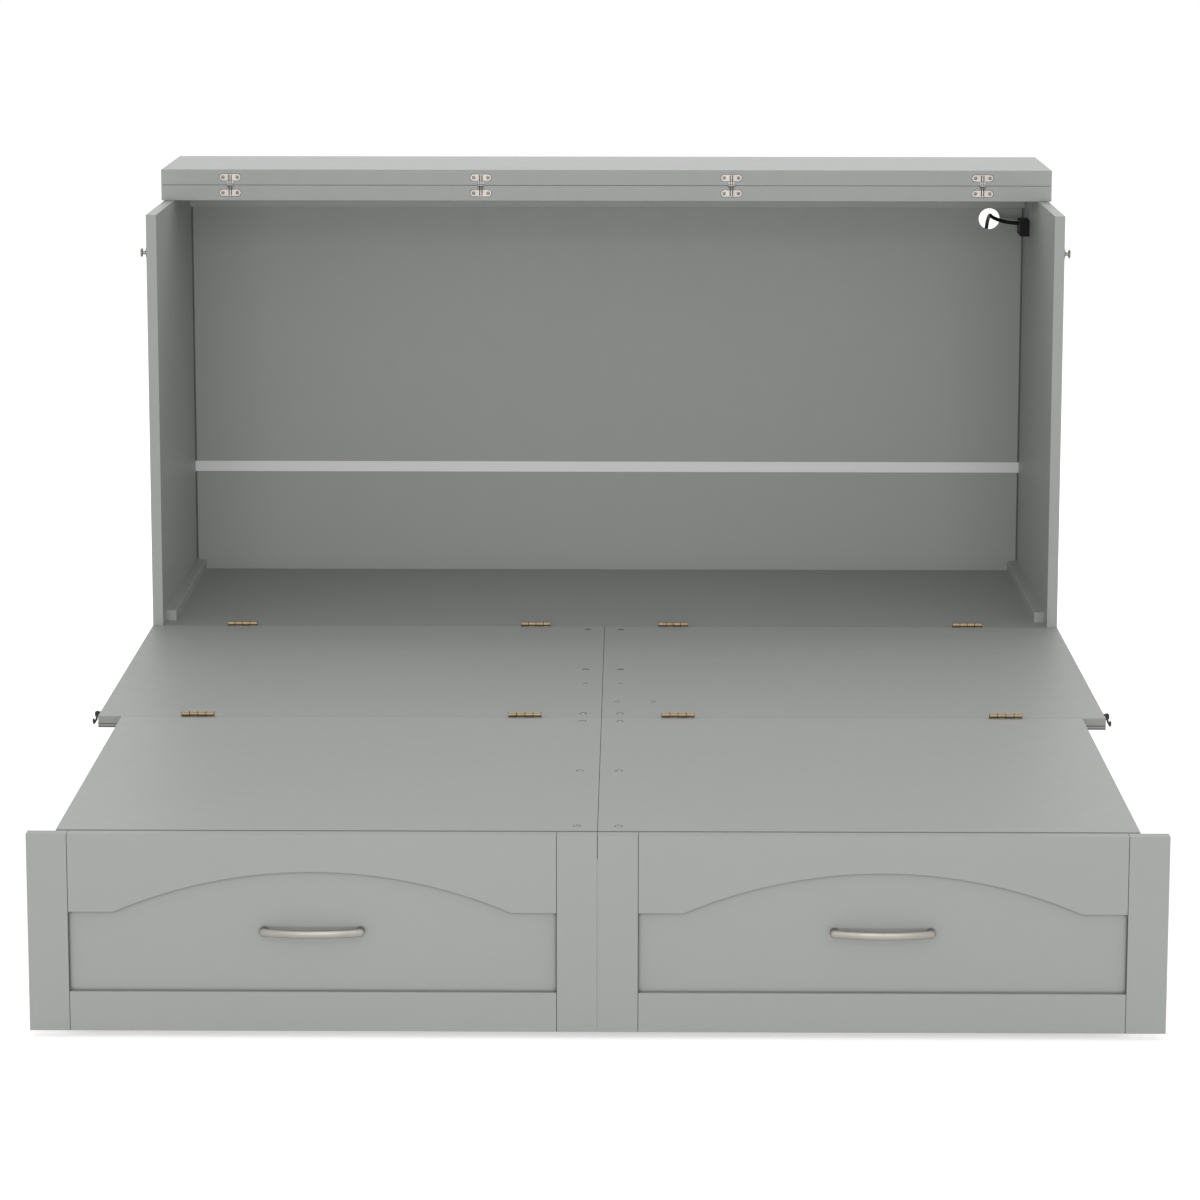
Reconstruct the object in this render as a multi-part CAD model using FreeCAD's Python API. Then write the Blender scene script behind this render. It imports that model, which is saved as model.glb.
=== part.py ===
"""Cabinet bed, shown open: a chest whose lid folds back and whose front unfolds into a bed platform.

Millimetres. +X is to the right seen from the foot, +Y runs from the foot to the head, +Z is up.
The origin is on the floor, at the middle of the bed's length and width.
"""
import FreeCAD, Part
import math
import os

V = FreeCAD.Vector

# ---- driving dimensions ---------------------------------------------------------------------
CABINET_WIDTH = 1625.0      # over the two side panels
SIDE_BOARD = 18.5           # side panel thickness
SIDE_TOP = 1040.0           # top edge of the side panels above the floor
INNER_DEPTH = 552.0         # front edge of a side panel to the back panel
BACK_SETBACK = 22.0         # back panel's front face to the rear edge of a side panel
GLIDE_HEIGHT = 4.0          # plastic glides under the cabinet
GLIDE_RADIUS = 8.5
GLIDE_INSET = 60.0
BACK_BOARD = 5.0            # hardboard back
BACK_GROOVE = 6.0           # depth of the groove that holds the back
STRIP_HEIGHT = 501.5        # middle of the joining strip above the floor
STRIP_WIDTH = 20.0          # flange of the joining strip
STRIP_WALL = 1.1            # flange thickness
RAIL_HEIGHT = 36.0          # rail under the rear of the lid
RAIL_BOARD = 18.0

LID_SIDE_LAP = 5.0          # lid past each side panel
LID_FRONT_LAP = 26.3        # closed lid past the front edges of the side panels
LID_BOARD = 28.4
LID_SEAM = 0.4              # gap between the folded halves
LID_BACK_LAP = 7.0          # lid past the rear edge of the side panels

PLATFORM_TOP = 300.0        # sleeping platform above the floor
FIXED_BOARD = 18.0
LID_CLEARANCE = 1.2         # middle hinges to the lid over them when the front is closed
FOOT_SHORTER = 4.5          # second folding section shorter than the first
FOOT_SIDE_GAP = 19.5        # and from each side panel when it is folded in
FOLD_BOARD = 12.0           # board of the folding sections
FRAME_BOARD = 7.0           # frame and battens under them
SEAM = 0.8                  # gap between two hinged sections
HALF_SEAM = 0.8             # gap between the left and right halves
BEVEL_TOP = 5.0             # square edge left above the bevel under the free end
BEVEL_RUN = 7.0
FRAME_STILE = 58.0          # width of stiles, rails and battens

CLEAT = 18.5                # square cleats beside the mattress
CLEAT_SETBACK = 45.0        # from the front edge of the side panel
CLEAT_EASE = 1.0            # chamfer on its upper inner edge
SCREW_HEAD = 4.0            # cleat screws: head and shank radius, depth of the head, length
SCREW_SHANK = 1.8
SCREW_SINK = 2.4
SCREW_LENGTH = 26.0
SCREW_PAIR = 24.0           # from a screw into the platform to the next into the side
CLEAT_SCREW_INSET = 40.0
LEDGE_HEIGHT = 30.0
LEDGE_WIDTH = 20.0
PARTITION = 18.0            # upright between the drawer bays
PARTITION_SETBACK = 12.0    # it and the ledges start behind the side panels' front edges
PARTITION_CORNER = 20.0     # chamfer at its foot
BOARD_FIT = 0.3             # a board's end to the board beside it
EASED_EDGE = 1.0            # rounding of the painted boards' edges

BARREL_RADIUS = 4.0         # brass butt hinges
BARREL_LIFT = 0.3           # barrel above the boards
HINGE_LENGTH = 53.0
HINGE_LEAF = 1.4
LEAF_DEPTH = 15.0           # leaf below the top of the boards
HINGE_FROM_SEAM = 123.4     # middle of the inner hinges from the centre line
HINGE_FROM_SIDE = 143.0     # and of the outer ones from the side panels
KNUCKLES = 4                # along one barrel, two for each leaf
KNUCKLE_GAP = 0.15
PIN_RADIUS = 1.5
RUNNING = 0.05              # radial clearance of a turning fit
HOLE_FIT = 0.05             # radial clearance of a fastener in its hole
MORTISE_FIT = 0.2           # play around a hinge leaf in its recess

LID_HINGE_FROM_MIDDLE = 230.0
LID_HINGE_FROM_END = 126.8
LID_PLATE_LENGTH = 40.0     # table hinges in the lid's front edge
LID_PLATE_WIDTH = 13.6
LID_PLATE = 2.0
LID_PLATE_OFFSET = 14.3     # plate's middle from the fold line
LID_KNUCKLE_RADIUS = 2.2
LID_PIN_RADIUS = 0.9
LID_AXIS_OUT = 0.25         # fold line in front of the lid's edge
LID_PLATE_SUNK = 0.02
LID_PRONG = 2.2             # width of the upper leaf's three prongs
LID_SLOT = 2.0              # between them, where the lower leaf's two arms run
LID_ARM = 0.7               # thickness of those arms
LID_ARM_PLAY = 0.15         # arm to each prong beside it
LID_GROOVE = 0.5            # depth of the grooves that carry the slots on up the upper plate
LID_PLATE_RIM = 2.0         # plate left at the far end of the slots and grooves
LID_MORTISE_PLAY = 0.1      # plate to the walls of its recess
LID_KNUCKLE_PLAY = 0.4      # knuckles to theirs
LID_SCREW_HOLE = 3.2        # countersunk holes: radius at the face and at the back
LID_SCREW_NECK = 1.6
LID_PIN_END = 0.2           # pin past the outer prongs

DRAWER_SIDE_LAP = 1.5       # drawer front past the side panel
DRAWER_FLOOR_GAP = 10.0
DRAWER_PANEL = 12.0
DRAWER_FRAME = 7.5
DRAWER_SEAM = 0.6           # gap between the two fronts
FOOT_GAP = 6.5              # foot section to the drawer fronts
STILE_WIDTH = 58.0
BOTTOM_RAIL = 58.0
TOP_RAIL = 114.7            # at its ends, where it is widest
ARCH_START = 64.5           # flat stretch beside each stile
ARCH_RISE = 59.5
BOX_BACK_GAP = 20.8         # box to the back panel when the drawer is shut
BOX_BOARD = 15.0
BOX_CLEARANCE = 0.5         # box to the frame of the platform above it
BOX_FLOOR = 5.0             # thin bottom in a groove
BOX_SIDE_GAP = 25.5         # box to the inside of the cabinet
BOX_CENTER_GAP = 80.0       # between the two boxes
FRONT_LEAD = 3.8            # closed drawer front ahead of the side panels
FRAME_ROUND = 0.8           # rounding of the frame's front edges
FLOOR_HEIGHT = 12.0         # drawer bottom above its walls' lower edges
FLOOR_GRIP = 7.0            # depth of the grooves
GROOVE_FIT = 0.1

HANDLE_SPAN = 151.0
HANDLE_WIDTH = 11.0
HANDLE_DEPTH = 5.0
HANDLE_OUT = 30.0           # furthest point of the bow from the front
HANDLE_DROP = 148.0         # its height above the bottom of the front
HANDLE_POST = 5.0
HANDLE_BOW = 9.0            # rise of the bow between its ends
HANDLE_ROUND = 1.9
HANDLE_SCREW = 2.05
HANDLE_SCREW_HEAD = 4.5
HANDLE_HEAD_THICK = 1.6

WHEEL_RADIUS = 20.0
WHEEL_WIDTH = 16.0
AXLE_RADIUS = 3.0
WHEEL_PLAY = 0.8            # wheel to each cheek
WHEEL_TOP_PLAY = 3.5        # and to the plate above it
WHEEL_ROUND = 2.5           # tread's rounded corner
DISH_DEPTH = 2.5            # dished ring between the tread and the hub
DISH_RADIUS = 13.6
HUB_RADIUS = 6.4
FORK_PLATE = 2.5
FORK_LENGTH = 52.0
FORK_CORNER = 4.0
CHEEK_ROOT = 15.0
CHEEK_TIP = 6.0
CASTER_INSET = 62.0         # wheel middle from the box's ends

BOLT_HEAD = 6.0             # radius, as for the next three
BOLT_SHANK = 3.0
SMALL_BOLT_HEAD = 4.2
SMALL_BOLT_SHANK = 2.0
BOLT_LENGTH = 17.0
BOLT_SINK = 1.2             # head let into the board
BOLT_X = 29.7
BOLT_INSET = 28.0           # first and last bolt from a section's ends
BOLT_PROUD = 0.4
SMALL_BOLT_END = 3.0        # thread past the leg's bracket

LEG_FROM_FOLD = 253.5       # leg pivot from the second fold line
LEG_WIDTH = 48.0
LEG_DEPTH = 30.0
LEG_PIVOT_DROP = 44.0       # below the platform's top
LEG_PIN_RADIUS = 4.0
LEG_SIDE_PLAY = 0.4         # leg to each ear of its bracket
LEG_FOOT_ROUND = 5.0
PIN_HEAD_LIP = 2.0
PIN_HEAD_THICK = 1.6
BRACKET_PLATE = 3.0
BRACKET_WALL = 2.5
BRACKET_LENGTH = 84.0
BRACKET_WIDTH = 44.0
EAR_RADIUS = 12.0
PLATE_CORNER = 5.0
CATCH_FROM_PIVOT = 138.0
CATCH_X = 54.2              # middle of the catch's two screws
CATCH_SCREW_SPACING = 59.4
CATCH_SCREW_MARGIN = 9.0
CATCH_WIDTH = 28.0
CATCH_PLATE = 2.0
JAW_PLAY = 0.5              # jaw to the side of the folded leg
JAW_BARB = 2.5
JAW_NOSE = 8.0
JAW_REACH = 12.0
JAW_ROOT = 22.0
JAW_WIDTH = 20.0

STUD_DROP = 69.0            # below the top of the side panels
STUD_SETBACK = 22.0
STUD_NECK = 3.5             # radii of its neck, knob, flange and root
STUD_KNOB = 8.0
STUD_FLANGE = 11.0
STUD_ROOT = 2.0
STUD_ROOT_LENGTH = 11.9
STUD_REACH = 12.5
STUD_FLANGE_THICK = 3.0
STUD_KNOB_THICK = 3.5
HOOK_ABOVE_STUD = 23.3      # eye of the hook above the stud when the front is closed
HOOK_WIRE = 1.75
HOOK_STANDOFF = 6.5         # wire's middle from the edge of the board
HOOK_EYE = 5.5              # radius of its eye
HOOK_SCREW = 1.8            # radii of its screw, the screw's head and the sleeve
HOOK_HEAD = 4.2
HOOK_SLEEVE = 4.6
HOOK_SCREW_LENGTH = 9.8     # in the board
HOOK_SIDE_PLAY = 0.2
HOOK_PLAY = 0.5             # curl to the stud's neck
HOOK_CURL = 25.0            # degrees the curl goes past the arm's line
HOOK_SHOULDER = 13.0        # where the arm leaves the eye

CHARGER_LENGTH = 60.0
CHARGER_HEIGHT = 30.0
CHARGER_INSIDE = 17.6
CHARGER_FROM_BACK = 60.0    # its rear end to the back panel
CHARGER_DROP = 50.0         # below the top of the side panels
CHARGER_FIT = 0.15          # play of the housing in its window
CHARGER_ROUND = 2.0
BEZEL_LENGTH = 74.0
BEZEL_HEIGHT = 42.0
BEZEL_PROUD = 2.5
BEZEL_CORNER = 6.0
BEZEL_ROUND = 0.9
PORT_LENGTH = 13.0          # two ports in the bezel
PORT_HEIGHT = 5.2
PORT_DEPTH = 9.0
PORT_SPACING = 26.0

HOLE_RADIUS = 20.0          # cord hole in the back
HOLE_FROM_SIDE = 65.0
HOLE_DROP = 58.0            # below the top of the side panels
CORD_RADIUS = 3.5
COIL_GAP = 1.1              # between the turns of the coil
COIL_RADIUS = 42.0          # middle of its widest turn
COIL_TURNS = 1.5            # in each of its two layers
RELIEF_LENGTH = 24.0        # tapered sleeve behind the plug
RELIEF_END = 6.5
PLUG_LENGTH = 28.0
PLUG_WIDTH = 24.0
PLUG_CORNER = 4.0
BLADE_SPACING = 12.7
BLADE_THICK = 1.5
BLADE_WIDTH = 6.3
BLADE_LENGTH = 17.0

# ---- places worked out from them ------------------------------------------------------------
HALF_WIDTH = CABINET_WIDTH / 2
INNER_X = HALF_WIDTH - SIDE_BOARD
FRONT_BOARD = DRAWER_PANEL + DRAWER_FRAME
LID_WIDTH = CABINET_WIDTH + 2 * LID_SIDE_LAP
LID_DEPTH = (LID_BACK_LAP + BACK_SETBACK + INNER_DEPTH + LID_FRONT_LAP) / 2 - LID_AXIS_OUT
DRAWER_DEPTH = INNER_DEPTH + FRONT_LEAD - BOX_BACK_GAP
FOOT_WIDTH = 2 * (INNER_X - FOOT_SIDE_GAP)
DRAWER_WIDTH = HALF_WIDTH + DRAWER_SIDE_LAP - DRAWER_SEAM / 2
AXIS_LIFT = BARREL_RADIUS + BARREL_LIFT
AXIS_Z = PLATFORM_TOP + AXIS_LIFT
MIDDLE_LENGTH = SIDE_TOP - LID_CLEARANCE - BARREL_RADIUS - AXIS_Z
FOOT_LENGTH = MIDDLE_LENGTH - FOOT_SHORTER
OVERALL = (LID_BACK_LAP + BACK_SETBACK + INNER_DEPTH + MIDDLE_LENGTH + FOOT_LENGTH
           + FOOT_GAP + FRONT_BOARD + HANDLE_OUT)
LID_BACK = OVERALL / 2
SIDE_BACK = LID_BACK - LID_BACK_LAP
BACK_FACE = SIDE_BACK - BACK_SETBACK
FOLD_1 = BACK_FACE - INNER_DEPTH
FOLD_2 = FOLD_1 - MIDDLE_LENGTH
FOOT_END = FOLD_2 - FOOT_LENGTH
DRAWER_BACK = FOOT_END - FOOT_GAP
PANEL_FACE = DRAWER_BACK - DRAWER_PANEL
DRAWER_FACE = DRAWER_BACK - FRONT_BOARD
LID_FRONT = LID_BACK - LID_DEPTH
LID_AXIS_Y = LID_FRONT - LID_AXIS_OUT
LID_AXIS_Z = SIDE_TOP + LID_BOARD + LID_SEAM / 2
FOLD_UNDER = PLATFORM_TOP - FOLD_BOARD
FRAME_UNDER = FOLD_UNDER - FRAME_BOARD
LEG_Y = FOLD_2 + LEG_FROM_FOLD
LEG_PIVOT_Z = PLATFORM_TOP - LEG_PIVOT_DROP
STUD_Y = FOLD_1 + STUD_SETBACK
DRAWER_BOTTOM = DRAWER_FLOOR_GAP
BOX_TOP = FRAME_UNDER - BOX_CLEARANCE
BOX_BOTTOM = 2 * WHEEL_RADIUS + WHEEL_TOP_PLAY + FORK_PLATE
TRAVEL = FOLD_1 - FRONT_LEAD - DRAWER_BACK
STUD_HEIGHT = SIDE_TOP - STUD_DROP
HOOK_FROM_HINGE = STUD_HEIGHT + HOOK_ABOVE_STUD - AXIS_Z
HOOK_Y = FOLD_1 - HOOK_FROM_HINGE
HOOK_Z = PLATFORM_TOP - FOLD_BOARD / 2
HINGE_X = (HINGE_FROM_SEAM, INNER_X - HINGE_FROM_SIDE)
LID_HINGE_X = (LID_HINGE_FROM_MIDDLE, LID_WIDTH / 2 - LID_HINGE_FROM_END)
CHARGER_TOP = SIDE_TOP - CHARGER_DROP
HOLE_X = INNER_X - HOLE_FROM_SIDE
HOLE_HEIGHT = SIDE_TOP - HOLE_DROP


# ---- small helpers --------------------------------------------------------------------------
def block(x0, x1, y0, y1, z0, z1):
    """A box between two x, two y and two z values."""
    return Part.makeBox(x1 - x0, y1 - y0, z1 - z0, V(x0, y0, z0))


def rod(start, along, radius, length):
    """A round bar from start, in the direction along."""
    return Part.makeCylinder(radius, length, start, along)


def mirrored(shape):
    """The same thing on the other side of the centre line."""
    return shape.mirror(V(0, 0, 0), V(1, 0, 0))


def prism(points, along):
    """A straight-sided solid from a closed outline."""
    outline = Part.makePolygon([V(*p) for p in points + points[:1]])
    return Part.Face(outline).extrude(along)


def parallel_edges(shape, direction):
    """The straight edges of a shape that run in one direction."""
    found = []
    for edge in shape.Edges:
        if edge.Curve.TypeId != "Part::GeomLine":
            continue
        if abs(abs(edge.tangentAt(edge.FirstParameter).dot(direction)) - 1) < 1e-6:
            found.append(edge)
    return found


def save(name, *solids):
    """Writes one node; several solids share it as a group."""
    shape = solids[0] if len(solids) == 1 else Part.Compound(list(solids))
    shape.exportStep(os.path.join("parts", name + ".step"))


# ---- fasteners shared by several parts ------------------------------------------------------
def bolt(x, y, clearance=0.0):
    """A flat-headed connector bolt down into the frame; with a clearance it cuts its own hole."""
    head = rod(V(x, y, PLATFORM_TOP - BOLT_SINK), V(0, 0, 1), BOLT_HEAD + clearance,
               BOLT_SINK + BOLT_PROUD)
    shank = rod(V(x, y, PLATFORM_TOP - BOLT_LENGTH), V(0, 0, 1), BOLT_SHANK + clearance,
                BOLT_LENGTH - BOLT_SINK / 2)
    return head.fuse(shank).removeSplitter()


def section_bolts(rear, front):
    """Where the six bolts of a folding section stand: two rows beside its centre seam."""
    rows = (rear - BOLT_INSET, (rear + front) / 2, front + BOLT_INSET)
    return [(side * BOLT_X, y) for y in rows for side in (-1, 1)]


def countersunk(at, into, clearance=0.0):
    """A small countersunk screw that enters the wood along into."""
    head = Part.makeCone(SCREW_HEAD + clearance, SCREW_SHANK + clearance, SCREW_SINK, at, into)
    shank = rod(at, into, SCREW_SHANK + clearance, SCREW_LENGTH)
    return head.fuse(shank).removeSplitter()


# ---- butt hinges at the two folds -----------------------------------------------------------
def knuckle_spans(moving):
    """The stretches along the barrel that belong to one leaf: every other knuckle."""
    pitch = HINGE_LENGTH / KNUCKLES
    first = 1 if moving else 0
    return [(k * pitch + KNUCKLE_GAP / 2, (k + 1) * pitch - KNUCKLE_GAP / 2)
            for k in range(first, KNUCKLES, 2)]


def hinge_leaf(x, fold, moving):
    """One leaf in the edge of its board, with its share of the barrel. The moving leaf faces -Y."""
    side = -1 if moving else 1
    x0 = x - HINGE_LENGTH / 2
    near = fold + side * KNUCKLE_GAP / 2
    far = near + side * HINGE_LEAF
    y0, y1 = min(near, far), max(near, far)
    leaf_top = PLATFORM_TOP - BARREL_LIFT
    leaf = block(x0, x0 + HINGE_LENGTH, y0, y1, PLATFORM_TOP - LEAF_DEPTH, leaf_top)
    bore = rod(V(x0 - 1, fold, AXIS_Z), V(1, 0, 0), PIN_RADIUS + RUNNING, HINGE_LENGTH + 2)
    for a, b in knuckle_spans(moving):
        tab = block(x0 + a, x0 + b, y0, y1, leaf_top - BARREL_LIFT, AXIS_Z)
        barrel = rod(V(x0 + a, fold, AXIS_Z), V(1, 0, 0), BARREL_RADIUS, b - a)
        leaf = leaf.fuse(barrel).fuse(tab)
    return leaf.removeSplitter().cut(bore)


def hinge_pin(x, fold):
    """The pin through a barrel, flush with both ends."""
    x0 = x - HINGE_LENGTH / 2
    return rod(V(x0, fold, AXIS_Z), V(1, 0, 0), PIN_RADIUS, HINGE_LENGTH)


def leaf_mortise(fold, moving):
    """The shallow recesses in a board's edge that take the leaves of one fold."""
    side = -1 if moving else 1
    cuts = []
    for x in [s * h for h in HINGE_X for s in (-1, 1)]:
        near, far = fold, fold + side * (KNUCKLE_GAP + HINGE_LEAF)
        y0, y1 = min(near, far), max(near, far)
        reach = HINGE_LENGTH / 2 + MORTISE_FIT
        low = PLATFORM_TOP - LEAF_DEPTH - MORTISE_FIT
        cuts.append(block(x - reach, x + reach, y0, y1, low, PLATFORM_TOP + 1))
    return cuts


def hinge_set(fold, moving):
    return [hinge_leaf(s * h, fold, moving) for h in HINGE_X for s in (-1, 1)]


def pin_set(fold):
    return [hinge_pin(s * h, fold) for h in HINGE_X for s in (-1, 1)]


# ---- table hinges in the front edge of the lid ------------------------------------------------
def lid_prongs():
    """Where the upper leaf's prongs lie along the pin, as pairs of ends about the hinge's middle."""
    pitch = LID_PRONG + LID_SLOT
    return [(n * pitch - LID_PRONG / 2, n * pitch + LID_PRONG / 2) for n in (-1, 0, 1)]


def lid_arms(play=LID_ARM_PLAY):
    """Where the lower leaf's arms lie, in the slots between the prongs."""
    prongs = lid_prongs()
    return [(a[1] + play, b[0] - play) for a, b in zip(prongs, prongs[1:])]


def lid_plate_outline(x, middle, play=0.0, depth=LID_PLATE):
    """A round-ended plate in the lid's front edge, or with play the recess that it lies in."""
    end = LID_PLATE_WIDTH / 2
    half = LID_PLATE_LENGTH / 2 - end
    reach = end + play
    plate = block(x - half, x + half, LID_FRONT, LID_FRONT + depth, middle - reach, middle + reach)
    for s in (-1, 1):
        plate = plate.fuse(rod(V(x + s * half, LID_FRONT, middle), V(0, 1, 0), reach, depth))
    return plate.removeSplitter()


def lid_plate(x, side):
    """The plate of one leaf with its two countersunk screw holes."""
    middle = LID_AXIS_Z + side * LID_PLATE_OFFSET
    half = (LID_PLATE_LENGTH - LID_PLATE_WIDTH) / 2
    plate = lid_plate_outline(x, middle)
    for s in (-1, 1):
        plate = plate.cut(Part.makeCone(LID_SCREW_HOLE, LID_SCREW_NECK, LID_PLATE,
                                        V(x + s * half, LID_FRONT, middle), V(0, 1, 0)))
    plate.translate(V(0, LID_PLATE_SUNK, 0))
    return plate


def lid_leaf(x, moving):
    """A plate let into the edge. The upper one's three prongs end in knuckles round the pin, and
    two thin arms, sunk in slots of the lower one, run up between them to knuckles of their own."""
    side = 1 if moving else -1
    face = LID_FRONT + LID_PLATE_SUNK
    back = face + LID_PLATE
    plate = lid_plate(x, side)
    near = LID_AXIS_Z + side * (LID_PLATE_OFFSET - LID_PLATE_WIDTH / 2)
    far = LID_AXIS_Z + side * (LID_PLATE_OFFSET + LID_PLATE_WIDTH / 2 - LID_PLATE_RIM)
    low, high = sorted((near - side, far))
    depth = LID_GROOVE if moving else LID_PLATE - LID_ARM
    for a, b in lid_arms(play=0.0):
        plate = plate.cut(block(x + a, x + b, face - 1, face + depth, low, high))
    start, end = sorted((LID_AXIS_Z + side * LID_KNUCKLE_RADIUS / 2, near + side / 2))
    for a, b in lid_prongs() if moving else lid_arms():
        bar = block(x + a, x + b, face if moving else back - LID_ARM, back, start, end)
        ring = rod(V(x + a, LID_AXIS_Y, LID_AXIS_Z), V(1, 0, 0), LID_KNUCKLE_RADIUS, b - a)
        plate = plate.fuse(bar).fuse(ring)
    reach = lid_prongs()[-1][1] + 1
    bore = rod(V(x - reach, LID_AXIS_Y, LID_AXIS_Z), V(1, 0, 0), LID_PIN_RADIUS + RUNNING, 2 * reach)
    return plate.removeSplitter().cut(bore)


def lid_pin(x):
    reach = lid_prongs()[-1][1] + LID_PIN_END
    return rod(V(x - reach, LID_AXIS_Y, LID_AXIS_Z), V(1, 0, 0), LID_PIN_RADIUS, 2 * reach)


def lid_mortise(x, moving):
    """The recess that a lid hinge's plate, prongs and knuckles lie in."""
    middle = LID_AXIS_Z + (1 if moving else -1) * LID_PLATE_OFFSET
    depth = LID_PLATE + LID_PLATE_SUNK + LID_MORTISE_PLAY
    reach = lid_prongs()[-1][1] + LID_PIN_END + LID_KNUCKLE_PLAY
    cut = lid_plate_outline(x, middle, LID_MORTISE_PLAY, depth)
    low, high = sorted((LID_AXIS_Z, middle))
    cut = cut.fuse(block(x - reach, x + reach, LID_FRONT, LID_FRONT + depth, low, high))
    relief = rod(V(x - reach, LID_AXIS_Y, LID_AXIS_Z), V(1, 0, 0),
                 LID_KNUCKLE_RADIUS + LID_KNUCKLE_PLAY, 2 * reach)
    return cut.fuse(relief).removeSplitter()


def lid_hinge_places():
    return [s * h for h in LID_HINGE_X for s in (-1, 1)]


# ---- cabinet --------------------------------------------------------------------------------
def cleat_screw_list(clearance=0.0):
    """Three screws down into the platform and three into the side panel, through each cleat."""
    first = FOLD_1 + CLEAT_SETBACK + CLEAT_SCREW_INSET
    last = BACK_FACE - CLEAT_SCREW_INSET - SCREW_PAIR
    out = []
    for y in (first, (first + last) / 2, last):
        top = V(INNER_X - CLEAT / 2, y, PLATFORM_TOP + CLEAT)
        inner = V(INNER_X - CLEAT, y + SCREW_PAIR, PLATFORM_TOP + CLEAT / 2)
        for at, into in ((top, V(0, 0, -1)), (inner, V(1, 0, 0))):
            screw = countersunk(at, into, clearance)
            out += [screw, mirrored(screw)]
    return out


def side_cleats():
    """Square bars along both sides of the fixed platform; they keep the mattress off the sides."""
    bar = block(INNER_X - CLEAT, INNER_X, FOLD_1 + CLEAT_SETBACK, BACK_FACE,
                PLATFORM_TOP, PLATFORM_TOP + CLEAT)
    upper = [e for e in parallel_edges(bar, V(0, 1, 0))
             if e.Vertexes[0].X < INNER_X - 1 and e.Vertexes[0].Z > PLATFORM_TOP + 1]
    bar = bar.makeChamfer(CLEAT_EASE, upper)
    pair = [bar, mirrored(bar)]
    holes = Part.Compound(cleat_screw_list(HOLE_FIT))
    return [p.cut(holes) for p in pair]


def charger_place():
    """The charger's rear end and bottom."""
    return BACK_FACE - CHARGER_FROM_BACK, CHARGER_TOP - CHARGER_HEIGHT


def side_panel():
    """The right side panel: a board with a groove for the back, rounded on its long front edges."""
    board = block(INNER_X, HALF_WIDTH, FOLD_1, SIDE_BACK, GLIDE_HEIGHT, SIDE_TOP)
    front = [e for e in parallel_edges(board, V(0, 0, 1)) if abs(e.Vertexes[0].Y - FOLD_1) < 1e-6]
    board = board.makeFillet(EASED_EDGE, front)
    groove = block(INNER_X - 1, INNER_X + BACK_GROOVE, BACK_FACE, BACK_FACE + BACK_BOARD,
                   0, SIDE_TOP + 1)
    board = board.cut(groove)
    stud = rod(V(HALF_WIDTH - STUD_ROOT_LENGTH - HOLE_FIT, STUD_Y, STUD_HEIGHT), V(1, 0, 0),
               STUD_ROOT + HOLE_FIT, STUD_ROOT_LENGTH + 1)
    return board.cut(Part.Compound([stud] + cleat_screw_list(HOLE_FIT)))


def right_side_panel():
    """The right panel also has the window for the charger."""
    rear, bottom = charger_place()
    window = block(INNER_X - 1, HALF_WIDTH + 1, rear - CHARGER_LENGTH, rear, bottom, CHARGER_TOP)
    return side_panel().cut(window)


def back_panel(low, high):
    """One hardboard panel of the back; both ends sit in the side panels' grooves."""
    reach = INNER_X + BACK_GROOVE - BOARD_FIT
    return block(-reach, reach, BACK_FACE, BACK_FACE + BACK_BOARD, low, high)


def upper_back_panel():
    panel = back_panel(STRIP_HEIGHT + STRIP_WALL, SIDE_TOP)
    hole = rod(V(HOLE_X, BACK_FACE - 1, HOLE_HEIGHT), V(0, 1, 0), HOLE_RADIUS, BACK_BOARD + 2)
    return panel.cut(hole)


def joining_strip():
    """An H-shaped plastic strip that holds the edges of both back panels."""
    t, w, s = STRIP_WALL, STRIP_WIDTH / 2, BACK_BOARD
    y, z = BACK_FACE, STRIP_HEIGHT
    half = [(y - t, z - w), (y, z - w), (y, z - t), (y + s, z - t), (y + s, z - w),
            (y + s + t, z - w)]
    other = [(yy, 2 * z - zz) for yy, zz in reversed(half)]
    reach = INNER_X - BOARD_FIT
    points = [(-reach, yy, zz) for yy, zz in half + other]
    return prism(points, V(2 * reach, 0, 0))


def top_back_rail():
    """A board on edge that joins the sides under the lid."""
    low = SIDE_TOP - RAIL_HEIGHT
    rail = block(-INNER_X, INNER_X, BACK_FACE - RAIL_BOARD, BACK_FACE, low, SIDE_TOP)
    lower = [e for e in parallel_edges(rail, V(1, 0, 0)) if abs(e.Vertexes[0].Z - low) < 1e-6]
    return rail.makeFillet(EASED_EDGE, lower)


def fixed_platform():
    """The head part of the platform, fixed in the cabinet on its ledges."""
    reach = INNER_X - BOARD_FIT
    board = block(-reach, reach, FOLD_1 + SEAM / 2, BACK_FACE,
                  PLATFORM_TOP - FIXED_BOARD, PLATFORM_TOP)
    return board.cut(Part.Compound(leaf_mortise(FOLD_1, False) + cleat_screw_list(HOLE_FIT)))


def platform_ledges():
    """Bars screwed to both sides and the back, which carry the fixed platform."""
    top = PLATFORM_TOP - FIXED_BOARD
    front = FOLD_1 + PARTITION_SETBACK
    side = block(INNER_X - LEDGE_WIDTH, INNER_X, front, BACK_FACE, top - LEDGE_HEIGHT, top)
    rear_reach = INNER_X - LEDGE_WIDTH
    bay = block(PARTITION / 2, rear_reach, BACK_FACE - LEDGE_WIDTH / 2, BACK_FACE,
                top - LEDGE_HEIGHT, top)
    return [side, mirrored(side), bay, mirrored(bay)]


def center_partition():
    """An upright board under the fixed platform, between the two drawer bays."""
    top = PLATFORM_TOP - FIXED_BOARD
    front = FOLD_1 + PARTITION_SETBACK
    board = block(-PARTITION / 2, PARTITION / 2, front, BACK_FACE, GLIDE_HEIGHT, top)
    corner = [e for e in parallel_edges(board, V(1, 0, 0))
              if abs(e.Vertexes[0].Y - front) < 1e-6 and e.Vertexes[0].Z < top - 1]
    return board.makeChamfer(PARTITION_CORNER, corner)


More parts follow.
